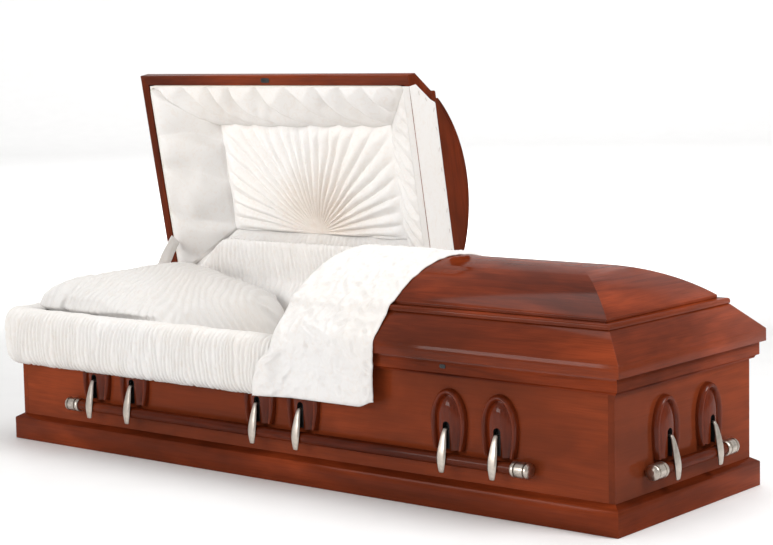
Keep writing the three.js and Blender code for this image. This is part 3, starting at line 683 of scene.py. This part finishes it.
def lid_lining(name, body, side):
    """Four sloping sides in folds around a flat sunburst, with piping along the rim."""
    place = lid_place(side)
    near, far = (-0.0125, -1.0335) if side < 0 else (0.0425, 1.0335)
    inner_near, inner_far = (-0.172, -0.862) if side < 0 else (0.200, 0.862)
    lo, hi, inner_lo, inner_hi, deep = 0.0335, 0.6545, 0.172, 0.514, 0.115
    fine = 1.0 if side < 0 else 0.55
    made = []

    outer = np.array([(near, lo), (near, hi), (far, hi), (far, lo)])
    inner_x = (inner_near, inner_near, inner_far, inner_far)
    inner = np.array([inner_x, (inner_lo, inner_hi, inner_hi, inner_lo)]).T

    def strip(part, k, along, across, height):
        """The sloping side from corner k to the next, raised by its own folds."""
        steps = np.linspace(0, 1, int(along * fine)), np.linspace(0, 1.03, int(across * fine))
        a, b = np.meshgrid(*steps, indexing="ij")
        n = (k + 1) % 4
        rim = outer[k] * (1 - a[..., None]) + outer[n] * a[..., None]
        edge = inner[k] * (1 - a[..., None]) + inner[n] * a[..., None]
        x, up = np.moveaxis(rim * (1 - b[..., None]) + edge * b[..., None], -1, 0)
        p = place(x, up, 0.0025 + np.minimum(b, 1) * (deep - 0.0025) + 0.004 * smooth(b, 0.96, 1.03))
        made.append((part, p, np.minimum(height(a, b, x, up), 0.0004 + 0.135 * b)))

    def hump(b):
        return np.clip(np.sin(np.pi * np.clip(b, 0, 1)), 0, 1) ** 0.45

    def ends(a, fade=0.03):
        return smooth(a, 0.0, fade) * (1 - smooth(a, 1 - fade, 1.0))

    def wide(a, b, x, up):
        warp = 0.30 * noise2(x * 7, b * 1.5, 4)
        swags = swag(side * x / 0.103 + b**1.5 + warp + 0.3)
        big = 0.8 + 0.35 * noise2(x * 9, 1, 3)
        rise = 0.036 * swags * big + 0.0030 * noise2(x * 40, b * 5, 2)
        return ends(a) * smooth(a, -0.05, 0.11) * hump(b) * rise

    def broad(a, b, x, up):
        warp = 0.30 * noise2(up * 7, b * 2, 9)
        rise = 0.023 * swag(up / 0.128 + 0.35 * b + warp, 0.74) + 0.0040 * noise2(up * 22, b * 4, 5)
        return ends(a) * hump(b) * rise

    def narrow(a, b, x, up):
        warp = 0.4 * noise2(up * 12, b * 2, 14)
        rise = 0.017 * swag((up - 0.065 * b) / 0.048 + warp) + 0.0025 * noise2(up * 50, b * 5, 6)
        return ends(a, 0.13) * hump(b) * rise

    def shirred(a, b, x, up):
        warp = 0.9 * noise2(x * 22, b * 2, 19)
        return ends(a) * hump(b) * 0.0075 * (0.4 + puff(x / 0.0185 + 0.8 * b + warp, 0.75))

    strip("top", 1, 270, 36, wide)
    strip("end", 2, 150, 32, broad)
    strip("hinge", 3, 420, 17, shirred)
    strip("cut", 0, 210, 34, narrow)
    pleats = 25
    steps = pleats * (14 if side < 0 else 8) + 1
    t, r = np.meshgrid(np.linspace(0, 1, steps), np.linspace(0, 1, int(40 * fine)) ** 0.9, indexing="ij")
    angle = np.pi * t
    half = abs(inner_far - inner_near) / 2
    height = inner_hi - inner_lo
    dx, dy = np.cos(angle), np.maximum(np.sin(angle), 0)
    reach = np.minimum(half / np.maximum(np.abs(dx), 1e-6), height / np.maximum(dy, 1e-6))
    radius = 0.001 + (reach + 0.002) * r
    x = (inner_near + inner_far) / 2 + dx * radius
    up = inner_lo + 0.002 + dy * radius
    warp = 0.16 * noise2(t * 30, r * 3, 23) + 0.05 * noise2(t * 60, r * 8, 24)
    lift = smooth(radius, 0.0, 0.16) * (1 - smooth(r, 0.86, 1.0))
    pleat = 0.0150 * lift * puff(t * pleats + warp, 0.8) + 0.0030 * noise2(x * 18, up * 18, 8) * lift
    made.append(("burst", place(x, up, deep - 0.0012 + 0 * r), pleat))
    middle = place(np.array(0.5 * (near + far)), np.array(0.35), np.array(-0.4))
    parts = []
    for part, p, amount in made:
        n = normals(p)
        towards = np.sign(np.sum(n * (middle - p), -1, keepdims=True).mean())
        fabric = BURST_LIGHTENED if part == "burst" else CREPE
        parts.append(cloth_piece(f"{name}_{part}", p, amount, 0.0015, towards, mat=fabric))
    for obj in parts:
        hang(obj, body)
    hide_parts(f"{body}_lining")

    # Piping around the rim, with its corners rounded by a bend
    bend, step = 0.012, 0.012 * np.sign(far - near)
    corners = [(near + step, lo), (far - step, lo), (far, lo + bend), (far, hi - bend)]
    corners += [(far - step, hi), (near + step, hi), (near, hi - bend), (near, lo + bend), (near + step, lo)]
    line = polyline(corners, 321, 0.01)[0][:-1]
    points = place(line[:, 0], line[:, 1], np.full(320, 0.0044))
    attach(tube(f"{name}_rim_piping", points, 0.0030, SATIN), body)


lid_lining("head_lining", "head_lid", -1)
lid_lining("foot_lining", "foot_lid", 1)


# ---- lining of the box ----
LINING_X, LINING_Y, LINING_FOOT = 1.008, 0.2855, 0.0170
around, levels = 1700, 16
wall_corners = [(-LINING_X, -LINING_Y), (LINING_X, -LINING_Y), (LINING_X, LINING_Y), (-LINING_X, LINING_Y)]
wall = polyline([*wall_corners, wall_corners[0]], around + 1, 0.03)[0][:-1]
rise, _ = polyline([(0.0, LINING_FOOT), (0.0, 0.360), (0.0035, 0.3688), (0.0068, 0.3700)], 26)
rows = np.concatenate([np.linspace(0, 0.60, 3), np.linspace(0.68, 1, levels - 3)])
off = np.interp(rows, np.linspace(0, 1, 26), rise[:, 0])
high = np.interp(rows, np.linspace(0, 1, 26), rise[:, 1])
direction = np.sign(wall) * (np.abs(wall) > (1.0, 0.278))
grid_p = np.empty((around, levels, 3))
grid_p[..., :2] = wall[:, None] + direction[:, None] * off[None, :, None]
grid_p[..., 2] = high[None]
turn = np.arange(around)[:, None] / around
gathers = 0.0034 * (puff(turn * 300 + 0.8 * noise2(turn * 190, rows[None] * 3, 31), 0.7) - 0.4)
gathers = gathers * (1 - smooth(rows, 0.93, 1.0))[None]
body_lining = cloth_piece("body_lining_dressed", grid_p, gathers, 0.0014, -1, wrap=True)
hang(body_lining, "casket", "body_lining")


# ---- bed and pillow ----
def cushion(name, levels, centre, half_x, half_y, blunt, around, height_at):
    """A closed form of rounded loops, from its underside to its crown."""
    loops = []
    a = np.linspace(0, 2 * math.pi, around, endpoint=False)
    for inset, share in levels:
        x = centre[0] + (half_x - inset) * np.sign(np.cos(a)) * np.abs(np.cos(a)) ** blunt
        y = centre[1] + (half_y - inset) * np.sign(np.sin(a)) * np.abs(np.sin(a)) ** blunt
        z = centre[2] + share * height_at(x, y)
        loops.append(list(zip(x, y, z)))
    return lofted(name, loops, CUSHION_SHADED, 0)


FILL_FRAMES = 20


def inflate(obj, pressure, cap, held_below):
    """Fills the cover with air for a short while, so that its fabric creases where it is held."""
    start = np.array([v.co for v in obj.data.vertices])
    group = obj.vertex_groups.new(name="held")
    group.add([i for i, p in enumerate(start) if p[2] < held_below], 1.0, "REPLACE")
    cloth = obj.modifiers.new("cloth", "CLOTH")
    cover = dict(quality=4, mass=0.3, tension_stiffness=12, compression_stiffness=12, bending_stiffness=0.25)
    cover.update(use_pressure=True, uniform_pressure_force=pressure, vertex_group_mass="held")
    for key, value in cover.items():
        setattr(cloth.settings, key, value)
    cloth.settings.effector_weights.gravity = 0
    cloth.point_cache.frame_start, cloth.point_cache.frame_end = 1, FILL_FRAMES
    for f in range(1, FILL_FRAMES + 1):
        scene.frame_set(f)
    settle(obj)
    scene.frame_set(1)
    end = np.array([v.co for v in obj.data.vertices])
    move = end - start
    length = np.linalg.norm(move, axis=1, keepdims=True)
    capped = start + move * np.minimum(1, cap / np.maximum(length, 1e-9))
    obj.data.vertices.foreach_set("co", capped.astype(np.float32).ravel())
    obj.vertex_groups.clear()
    return obj


def rumple(obj, folds):
    """Subdivides the piece and moves each point along its normal by folds(x, y, z)."""
    modified(obj, "SUBSURF", levels=1, render_levels=1)
    count = len(obj.data.vertices)
    p = np.empty(count * 3, np.float32)
    n = np.empty(count * 3, np.float32)
    obj.data.vertices.foreach_get("co", p)
    obj.data.vertex_normals.foreach_get("vector", n)
    p, n = p.reshape(-1, 3).astype(float), n.reshape(-1, 3)
    obj.data.vertices.foreach_set("co", (p + n * folds(*p.T)[:, None]).astype(np.float32).ravel())
    obj.data.shade_smooth()
    return obj


PILLOW_X = (-1.0007, -0.4827)


def pillow_height(x, y):
    along = (x - PILLOW_X[0]) / (PILLOW_X[1] - PILLOW_X[0])
    return 0.246 * (0.88 + 0.12 * np.sin(np.pi * along) - 0.36 * along**2)


# Each level has its inset and its share of the height
pillow_levels = [(0.045, 0.004), (0.018, 0.05), (0.006, 0.18), (0.002, 0.42), (0.004, 0.70), (0.014, 0.86)]
pillow_levels += [(0.036, 0.94), (0.080, 0.98), (0.140, 1.0), (0.210, 1.012)]
PILLOW_FOOT = (sum(PILLOW_X) / 2, 0, 0.2405)
pillow = cushion("pillow_dressed", pillow_levels, PILLOW_FOOT, 0.259, 0.2765, 0.17, 88, pillow_height)
modified(pillow, "REMESH", mode="VOXEL", voxel_size=0.0088)
inflate(pillow, 4.0, 0.012, 0.25)


def pillow_folds(x, y, z):
    top = smooth(z, 0.27, 0.36)
    bowed = x + 0.10 * np.sin(y * 7) + 0.55 * z * (x > -0.6)
    ribs = puff(bowed / 0.0200 + 0.5 * noise2(x * 16, y * 12, 41), 0.85)
    seam = np.exp(-(((x + 0.895 + 0.05 * y) / 0.012) ** 2))
    return top * (0.0052 * (ribs - 0.6) + 0.0050 * noise2(x * 11, y * 9, 43) - 0.011 * seam - 0.002)


def over_rim(x, y, z):
    """How far the pillow's filling leans out above the rim, toward the head end and both sides."""
    above = smooth(z, 0.376, 0.394)
    aside = np.sign(y) * smooth(np.abs(y), 0.18, 0.262)
    return -0.022 * above * smooth(-x, 0.86, 0.98), 0.022 * above * aside


rumple(pillow, pillow_folds)
for vertex in pillow.data.vertices:
    dx, dy = over_rim(*vertex.co)
    vertex.co.x += dx
    vertex.co.y += dy
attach(pillow, "casket")
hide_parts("pillow")
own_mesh(pillow)

bed_levels = [(0.0, 0.0), (0.0, 0.86), (0.004, 0.925), (0.012, 0.965), (0.026, 0.988)]
bed_levels += [(0.026 + 0.25 * k / 22, 0.988 + 0.012 * math.sin(math.pi / 2 * k / 22)) for k in range(1, 23)]
BED_FOOT, BED_HEIGHT = (0, 0, 0.0157), 0.2243


def bed_height(x, y):
    return 0 * x + BED_HEIGHT


bed = cushion("bed_dressed", bed_levels, BED_FOOT, 1.0008, 0.2785, 0.10, 260, bed_height)
modified(bed, "REMESH", mode="VOXEL", voxel_size=0.018)
rumple(bed, lambda x, y, z: smooth(z, 0.2, 0.23) * (0.0022 * crinkle(x, y, 0.030, 51) - 0.0024))
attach(bed, "casket")
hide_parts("bed")


# ---- skirt over the rim ----
SKIRT_COLUMNS, SKIRT_ROWS, SKIRT_PITCH = 800, 40, 0.0150
path_corners = [(0.003, -RIM_Y), (-RIM_X + 0.028, -RIM_Y), (-RIM_X + 0.008, -RIM_Y + 0.008)]
path_corners += [(-RIM_X, -RIM_Y + 0.028), (-RIM_X, 0.139)]
path, run = polyline(path_corners, SKIRT_COLUMNS, 0.05)
tangent = np.gradient(path, axis=0)
tangent /= np.linalg.norm(tangent, axis=1, keepdims=True)
out = np.stack([-tangent[:, 1], tangent[:, 0]], 1)
# From the hem, up the outside, over the rim and down inside: distance out and height
skirt_section = [(0.006, 0.227), (0.019, 0.229), (0.031, 0.252), (0.036, 0.298), (0.034, 0.345)]
skirt_section += [(0.026, 0.373), (0.006, 0.386), (-0.022, 0.386), (-0.040, 0.381), (-0.0485, 0.3735)]
section, depth = polyline(skirt_section, SKIRT_ROWS, 0.030)
share = depth / depth[-1]
skirt_p = np.empty((SKIRT_COLUMNS, SKIRT_ROWS, 3))
skirt_p[..., :2] = path[:, None] + out[:, None] * section[None, :, 0, None]
skirt_p[..., 2] = section[None, :, 1]
column, row = run[:, None], share[None]
drift = 0.8 * noise2(column * 20, row * 1.8, 62) + 0.35 * noise2(column * 55, row * 5, 63)
fine = puff(column / SKIRT_PITCH + drift, 0.85) - 0.5
low = (1 - smooth(share, 0.0, 0.18))[None]
scallop = puff(column / SKIRT_PITCH + drift[:, :1], 0.9) * low
skirt_p[..., 2] += 0.0058 * (1 - scallop) * low
folds = 0.0070 * fine + 0.0032 * noise2(column * 21, row * 1.4, 64)
fade = smooth(share, -0.1, 0.16) * (1 - 0.55 * smooth(share, 0.74, 0.92))
folds = (folds + 0.0008 * noise2(column * 150, row * 20, 65)) * fade[None]
skirt_side = 1 if np.dot(normals(skirt_p)[300, 25, :2], out[300]) > 0 else -1
skirt = cloth_piece("skirt_dressed", skirt_p, folds, 0.0016, skirt_side, mat=DRAPE_SHADED)
hang(skirt, "casket", "skirt")
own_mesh(skirt)


# ---- apron between the bed's back edge and the open lid ----
def before_lid(up, gap):
    """The Y and Z of a point up the open head lid, a gap in front of its rim."""
    c, s = math.cos(OPEN_ANGLE), math.sin(OPEN_ANGLE)
    return LID_Y - up * c - gap * s, LID_Z + up * s - gap * c


apron_columns, apron_rows = 440, 38
apron_x = np.linspace(-0.930, -0.0195, apron_columns)
tall = 0.42 + 0.58 * smooth(apron_x, -0.960, -0.780)
apron_p = np.empty((apron_columns, apron_rows, 3))
for i, (x, k) in enumerate(zip(apron_x, tall)):
    corners = [(0.2785, 0.335), (0.2800, 0.3700), (0.2835, 0.3860), before_lid(0.060 * k, 0.023)]
    corners += [before_lid(0.120 * k, 0.020), before_lid(0.172 * k, 0.0135)]
    corners += [before_lid(0.184 * k, 0.0070), before_lid(0.172 * k, 0.0050)]
    apron_p[i, :, 1:] = polyline(corners, apron_rows, 0.022)[0]
    apron_p[i, :, 0] = x
rows = np.linspace(0, 1, apron_rows)
column = apron_x[:, None]
lean = 1.2 * noise2(column * 22, rows[None] * 2, 71) + 0.4 * noise2(column * 50, rows[None] * 6, 72)
apron_fold = 0.0060 * (puff(column / 0.0175 + 1.1 * rows[None] + 0.6 * lean, 0.85) - 0.55)
apron_fold = apron_fold + 0.0022 * noise2(column * 16, rows[None] * 2, 73)
apron_fold = apron_fold * (smooth(rows, 0.15, 0.30) * (1 - 0.6 * smooth(rows, 0.84, 1.0)))[None]
apron_side = 1 if normals(apron_p)[200, 24, 1] < 0 else -1
apron = cloth_piece("apron_dressed", apron_p, apron_fold, 0.0016, apron_side)
hang(apron, "casket", "apron")
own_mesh(apron)


# ---- sleeve over the stay ----
lower, upper = (0.213, 0.3735), before_lid(0.165, 0.010)
centre, _ = polyline([lower, (0.232, 0.425), (0.262, 0.478), upper], 50, 0.08)
across = np.linspace(-1, 1, 14)
sleeve_p = np.empty((50, 14, 3))
slant = np.gradient(centre, axis=0)
slant /= np.linalg.norm(slant, axis=1, keepdims=True)
wide_at = 0.021 + 0.003 * np.sin(np.linspace(0, np.pi, 50))
sleeve_p[..., 1] = centre[:, None, 0] + slant[:, None, 1] * across[None] * wide_at[:, None]
sleeve_p[..., 2] = centre[:, None, 1] - slant[:, None, 0] * across[None] * wide_at[:, None]
sleeve_p[..., 2] = np.maximum(sleeve_p[..., 2], 0.3732)
wavy = 0.0012 * noise2(np.arange(50)[:, None] * 0.35, across[None] * 2, 81)
sleeve_p[..., 0] = -1.0155 + 0.0025 * np.cos(across * 2.6)[None] + wavy
sleeve = cloth_piece("stay_sleeve_dressed", sleeve_p, None, 0.0016, 1)
hang(sleeve, "casket", "stay_sleeve")
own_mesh(sleeve)


# ---- throw over the foot lid ----
def lid_section(gap):
    """The shut lid's outline a gap outside it, from its front edge to the back of its bead."""
    arc = [(n - LID_Y, z) for n, z in arc_points(CROWN_RADIUS + gap, SPRINGING + 0.3 * gap, 18)]
    side, ledge, lift = -LID_Y - gap, -0.278 - gap, 0.4 * gap
    front = [(side, LID_Z), (side, SLOPE_FOOT + lift), (ledge, SLOPE_TOP + lift), (ledge, BEAD_TOP + lift)]
    back = [(-y, z) for y, z in (front[3], front[2])]
    return front + arc + [(-y, z) for y, z in arc[:-1][::-1]] + back


NEAR, FAR, HEM = 0.0095, 0.3415, 0.2325
WIDTH = FAR - NEAR
columns, throw_rows = 92, 228
v = np.linspace(0, 1, columns)
over = lid_section(0.0075)
tail = (0.300 + 0.0075, 0.4475 + 0.003)
throw_p = np.empty((throw_rows, columns, 3))
for j, k in enumerate(v):
    hem_y = -0.3815 + 0.0270 * smooth(k, 0.0, 0.30)
    line = [(hem_y, HEM), (hem_y, 0.300), (hem_y * 0.7 - LID_Y * 0.3 - 0.002, 0.366), *over[1:], tail]
    throw_p[:, j, 1:], throw_run = polyline(line, throw_rows, 0.034)
    throw_p[:, j, 0] = NEAR + WIDTH * k
low = (1 - smooth(throw_p[..., 2], 0.322, 0.364)) * (throw_p[..., 1] < -0.3)
flare = 0.057 * (0.55 + 0.45 * smooth(-throw_p[..., 2], -0.36, -0.25))
throw_p[..., 0] -= flare * low * (1 - v[None]) ** 1.3
corner = low * smooth(v, 0.86, 1.0)[None]
throw_p[..., 2] += 0.016 * (1 - smooth(throw_p[..., 2], 0.231, 0.262)) * corner
s_u, s_v = throw_run[:, None], v[None] * WIDTH
edge_gap = np.minimum(np.minimum(s_v, WIDTH - s_v), np.minimum(s_u, throw_run[-1] - s_u))
quilt = 0.0036 * crinkle(s_u + 0.5 * s_v, s_v - 0.4 * s_u, 0.027, 91) + 0.0011 * crinkle(s_u, s_v, 0.0125, 92)
quilt = quilt + 0.0022 * noise2(s_u * 13, s_v * 13, 93)
quilt = (quilt + 0.0005) * smooth(edge_gap, -0.004, 0.016) - 0.0042 * (1 - smooth(edge_gap, 0.0, 0.010))
throw_side = 1 if normals(throw_p)[150, 60, 2] > 0 else -1
throw = cloth_piece("throw_dressed", throw_p, quilt, 0.0030, throw_side, mat=QUILT)
hang(throw, "foot_lid", "throw")

# The throw's end, hanging in front of the foot lid's cut end
hang_y = np.linspace(-0.3475, 0.3040, 150)
top_line = np.array(lid_section(0.0045))
order = np.concatenate([[[-0.3490, 0.374]], top_line[1:], [[0.3115, 0.4470]]])
top_z = np.interp(hang_y, order[:, 0], order[:, 1])
bottom_z = np.minimum(np.where(np.abs(hang_y) < 0.2775, 0.2465, 0.3745), top_z - 0.004)
w = np.linspace(0, 1, 36)
curtain_p = np.empty((150, 36, 3))
column = hang_y[:, None]
curtain_p[..., 1] = column
curtain_p[..., 2] = top_z[:, None] * (1 - w[None]) + bottom_z[:, None] * w[None]
sway = np.sin(column * 62 + 1.4 * noise2(column * 9, w[None] * 2, 95))
ripple = 0.0026 * sway * smooth(w, 0.02, 0.4)[None]
curtain_p[..., 0] = 0.0148 + ripple + 0.0009 * crinkle(column, w[None] * 0.3, 0.020, 96)
curtain_p[..., 0] = np.clip(curtain_p[..., 0], 0.0122, 0.0195)
curtain = cloth_piece("throw_curtain", curtain_p, None, 0.0016, 1, mat=DRAPE_SHADED)
hang(curtain, "foot_lid")


# ---- small trim ----
def plate(name, size_x, size_z, depth, at, body):
    """A small rounded dark plate with a keyhole, facing -Y."""
    around, outline = 40, []
    for k in range(around):
        c, s = math.cos(2 * math.pi * k / around), math.sin(2 * math.pi * k / around)
        x = size_x / 2 * math.copysign(abs(c) ** 0.45, c)
        outline.append((x, size_z / 2 * math.copysign(abs(s) ** 0.45, s)))
    steps = ((1.0, 0.0), (1.0, depth * 0.6), (0.94, depth), (0.45, depth), (0.40, depth * 0.4))
    loops = [[(x * shrink, -out_by, z * shrink) for x, z in outline] for shrink, out_by in steps]
    obj = lofted(name, loops, DARK)
    obj.data.transform(at)
    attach(obj, body)


on_rim = Matrix.Translation((0.550, -RIM_Y - 0.0001, 0.356))
plate("keyhole_plate", 0.018, 0.010, 0.0016, on_rim, "casket")
facing = OPEN @ Matrix.Translation((-0.538, -LID_Y + 0.0145, LID_Z - 0.0001))
facing = facing @ Matrix.Rotation(math.pi / 2, 4, "X")
plate("strike_plate", 0.034, 0.014, 0.0014, facing, "head_lid")

# Cloth stapled over the foot of the head lid's cut end
y_line = np.linspace(-0.3120, 0.3120, 150)
top_y = [-0.3126, -0.3125, -0.2560, -0.2440, 0.2440, 0.2560, 0.3125]
upper_z = np.interp(y_line, top_y, [0.3745, 0.4005, 0.458, 0.4775, 0.4775, 0.458, 0.4005])
w = np.linspace(0, 1, 26)
stapled_p = np.empty((150, 26, 3))
stapled_p[..., 1] = y_line[:, None]
face = smooth(w, 0.20, 0.24)
up_face = np.clip((w - 0.22) / 0.78, 0, 1)
stapled_p[..., 2] = (LID_Z - 0.0003) * (1 - up_face[None]) + upper_z[:, None] * up_face[None]
pull = noise2(y_line[:, None] * 30, w[None] * 2, 98)
turned_up = np.clip(w / 0.22, 0, 1)[None]
on_board = HEAD_CUT + 0.0010 + 0.0002 * pull
stapled_p[..., 0] = -0.0170 * (1 - face[None]) * (1 - turned_up) + on_board * turned_up
stapled = cloth_piece("cut_end_cloth", stapled_p, None, 0.0007, 1, mat=DRAPE_SHADED)
stapled.data.transform(OPEN)
hang(stapled, "head_lid")

wire = [(-0.006, 0), (-0.006, 0.0016), (0.006, 0.0016), (0.006, 0)]
staple_places = [(-0.285, 0.413), (-0.262, 0.440), (-0.225, 0.470), (0.262, 0.440)]
staple_places += [(-0.170 + 0.060 * k, 0.471) for k in range(7)]
wire_points, wire_sides, wire_radius = 14, 6, 0.0005
wire_line = polyline(wire, wire_points, 0.002)[0]
turns = [2 * math.pi * c / wire_sides for c in range(wire_sides)]
wire_loops = [
    [(d + wire_radius * math.cos(t), a, wire_radius * math.sin(t)) for t in turns]
    for a, d in wire_line
]
for k, (y, z) in enumerate(staple_places):
    staple = lofted(f"staple_{k + 1}", wire_loops, NICKEL, 0)
    spot = OPEN @ Matrix.Translation((HEAD_CUT + 0.0008, y, z - 0.004))
    staple.data.transform(spot @ Matrix.Rotation(0.5 * math.sin(k * 2.1), 4, "X"))
    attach(staple, "head_lid")


# ---- camera, floor and light ----
# Solved from the mouldings' straight edges in the photograph
CAMERA_PLACE, CAMERA_TURN = (3.48761, -4.07323, 1.15111), (1.468384, 0.017885, 0.668074)
CAMERA_LENS, CAMERA_SHIFT = 92.04, (-0.05867, -0.04028)
camera_data = bpy.data.cameras.new("camera")
camera = bpy.data.objects.new("camera", camera_data)
scene.collection.objects.link(camera)
camera_data.sensor_width = 36
camera_data.lens = CAMERA_LENS
camera_data.shift_x, camera_data.shift_y = CAMERA_SHIFT
camera_data.clip_end = 60
camera.location = CAMERA_PLACE
camera.rotation_euler = CAMERA_TURN
scene.camera = camera

floor_material, tree, shader = material("pale_floor", Specular_IOR_Level=0.25)
speckle = stretched_noise(tree, object_coords(tree), grey(6), 4, 0.6, 0.0)
pale = ramp(tree, speckle, [(0.3, grey(0.93)), (0.7, grey(0.95))])
connect(tree, shader, pale, ramp(tree, speckle, [(0.3, grey(0.55)), (0.7, grey(0.65))]))
# A flat disc that curves up into a wall far from the casket
sweep = [(r, 0.0) for r in (0.0, 2.0, 4.0, 8.0, 12.0, 16.0)]
sweep += [(16.0 + 4.0 * math.sin(a), 4.0 * (1 - math.cos(a))) for a in np.linspace(0.06, math.pi / 2, 20)]
sweep += [(20.0, 12.0)]
turn = -2 * np.pi * np.arange(72)[:, None] / 72
reach, height = np.array(sweep).T
floor_p = np.stack([reach * np.cos(turn), reach * np.sin(turn), height + 0 * turn], -1)
floor_faces = grid_faces(*floor_p.shape[:2], True)
floor = new_piece("floor", floor_p.reshape(-1, 3), floor_faces, [floor_material], sharp=0)
floor.location.z = -0.0005

world = bpy.data.worlds.new("studio")
scene.world = world
world.use_nodes = True
sky = world.node_tree.nodes["Background"].inputs
sky["Color"].default_value = (1.0, 0.99, 0.98, 1)
sky["Strength"].default_value = 0.62


def softbox(name, place, aim, size, power, colour=(1, 1, 1), spread=180):
    data = bpy.data.lights.new(name, "AREA")
    data.shape = "RECTANGLE"
    data.size, data.size_y = size
    data.energy = power
    data.color = colour
    data.spread = math.radians(spread)
    lamp = bpy.data.objects.new(name, data)
    scene.collection.objects.link(lamp)
    lamp.location = place
    lamp.rotation_euler = (Vector(aim) - Vector(place)).to_track_quat("-Z", "Y").to_euler()


softbox("overhead", (0.2, 0.4, 3.8), (0, 0, 0.3), (3.6, 2.4), 48)
softbox("key", (-2.4, -7.0, 2.2), (0, 0, 0.5), (4.6, 2.4), 185, (1.0, 0.99, 0.98))
softbox("lid_fill", (-1.6, -2.8, 2.3), (-0.55, 0.45, 0.80), (2.0, 1.2), 1.7, (1.0, 0.99, 0.98), 34)
softbox("end_fill", (3.7, 0.6, 3.1), (1.0, 0, 0.4), (1.6, 1.6), 92)
softbox("backdrop", (-2.6, 4.2, 5.2), (-9.0, 12.0, 0.0), (4.0, 2.5), 920)

scene.view_settings.view_transform = "Standard"
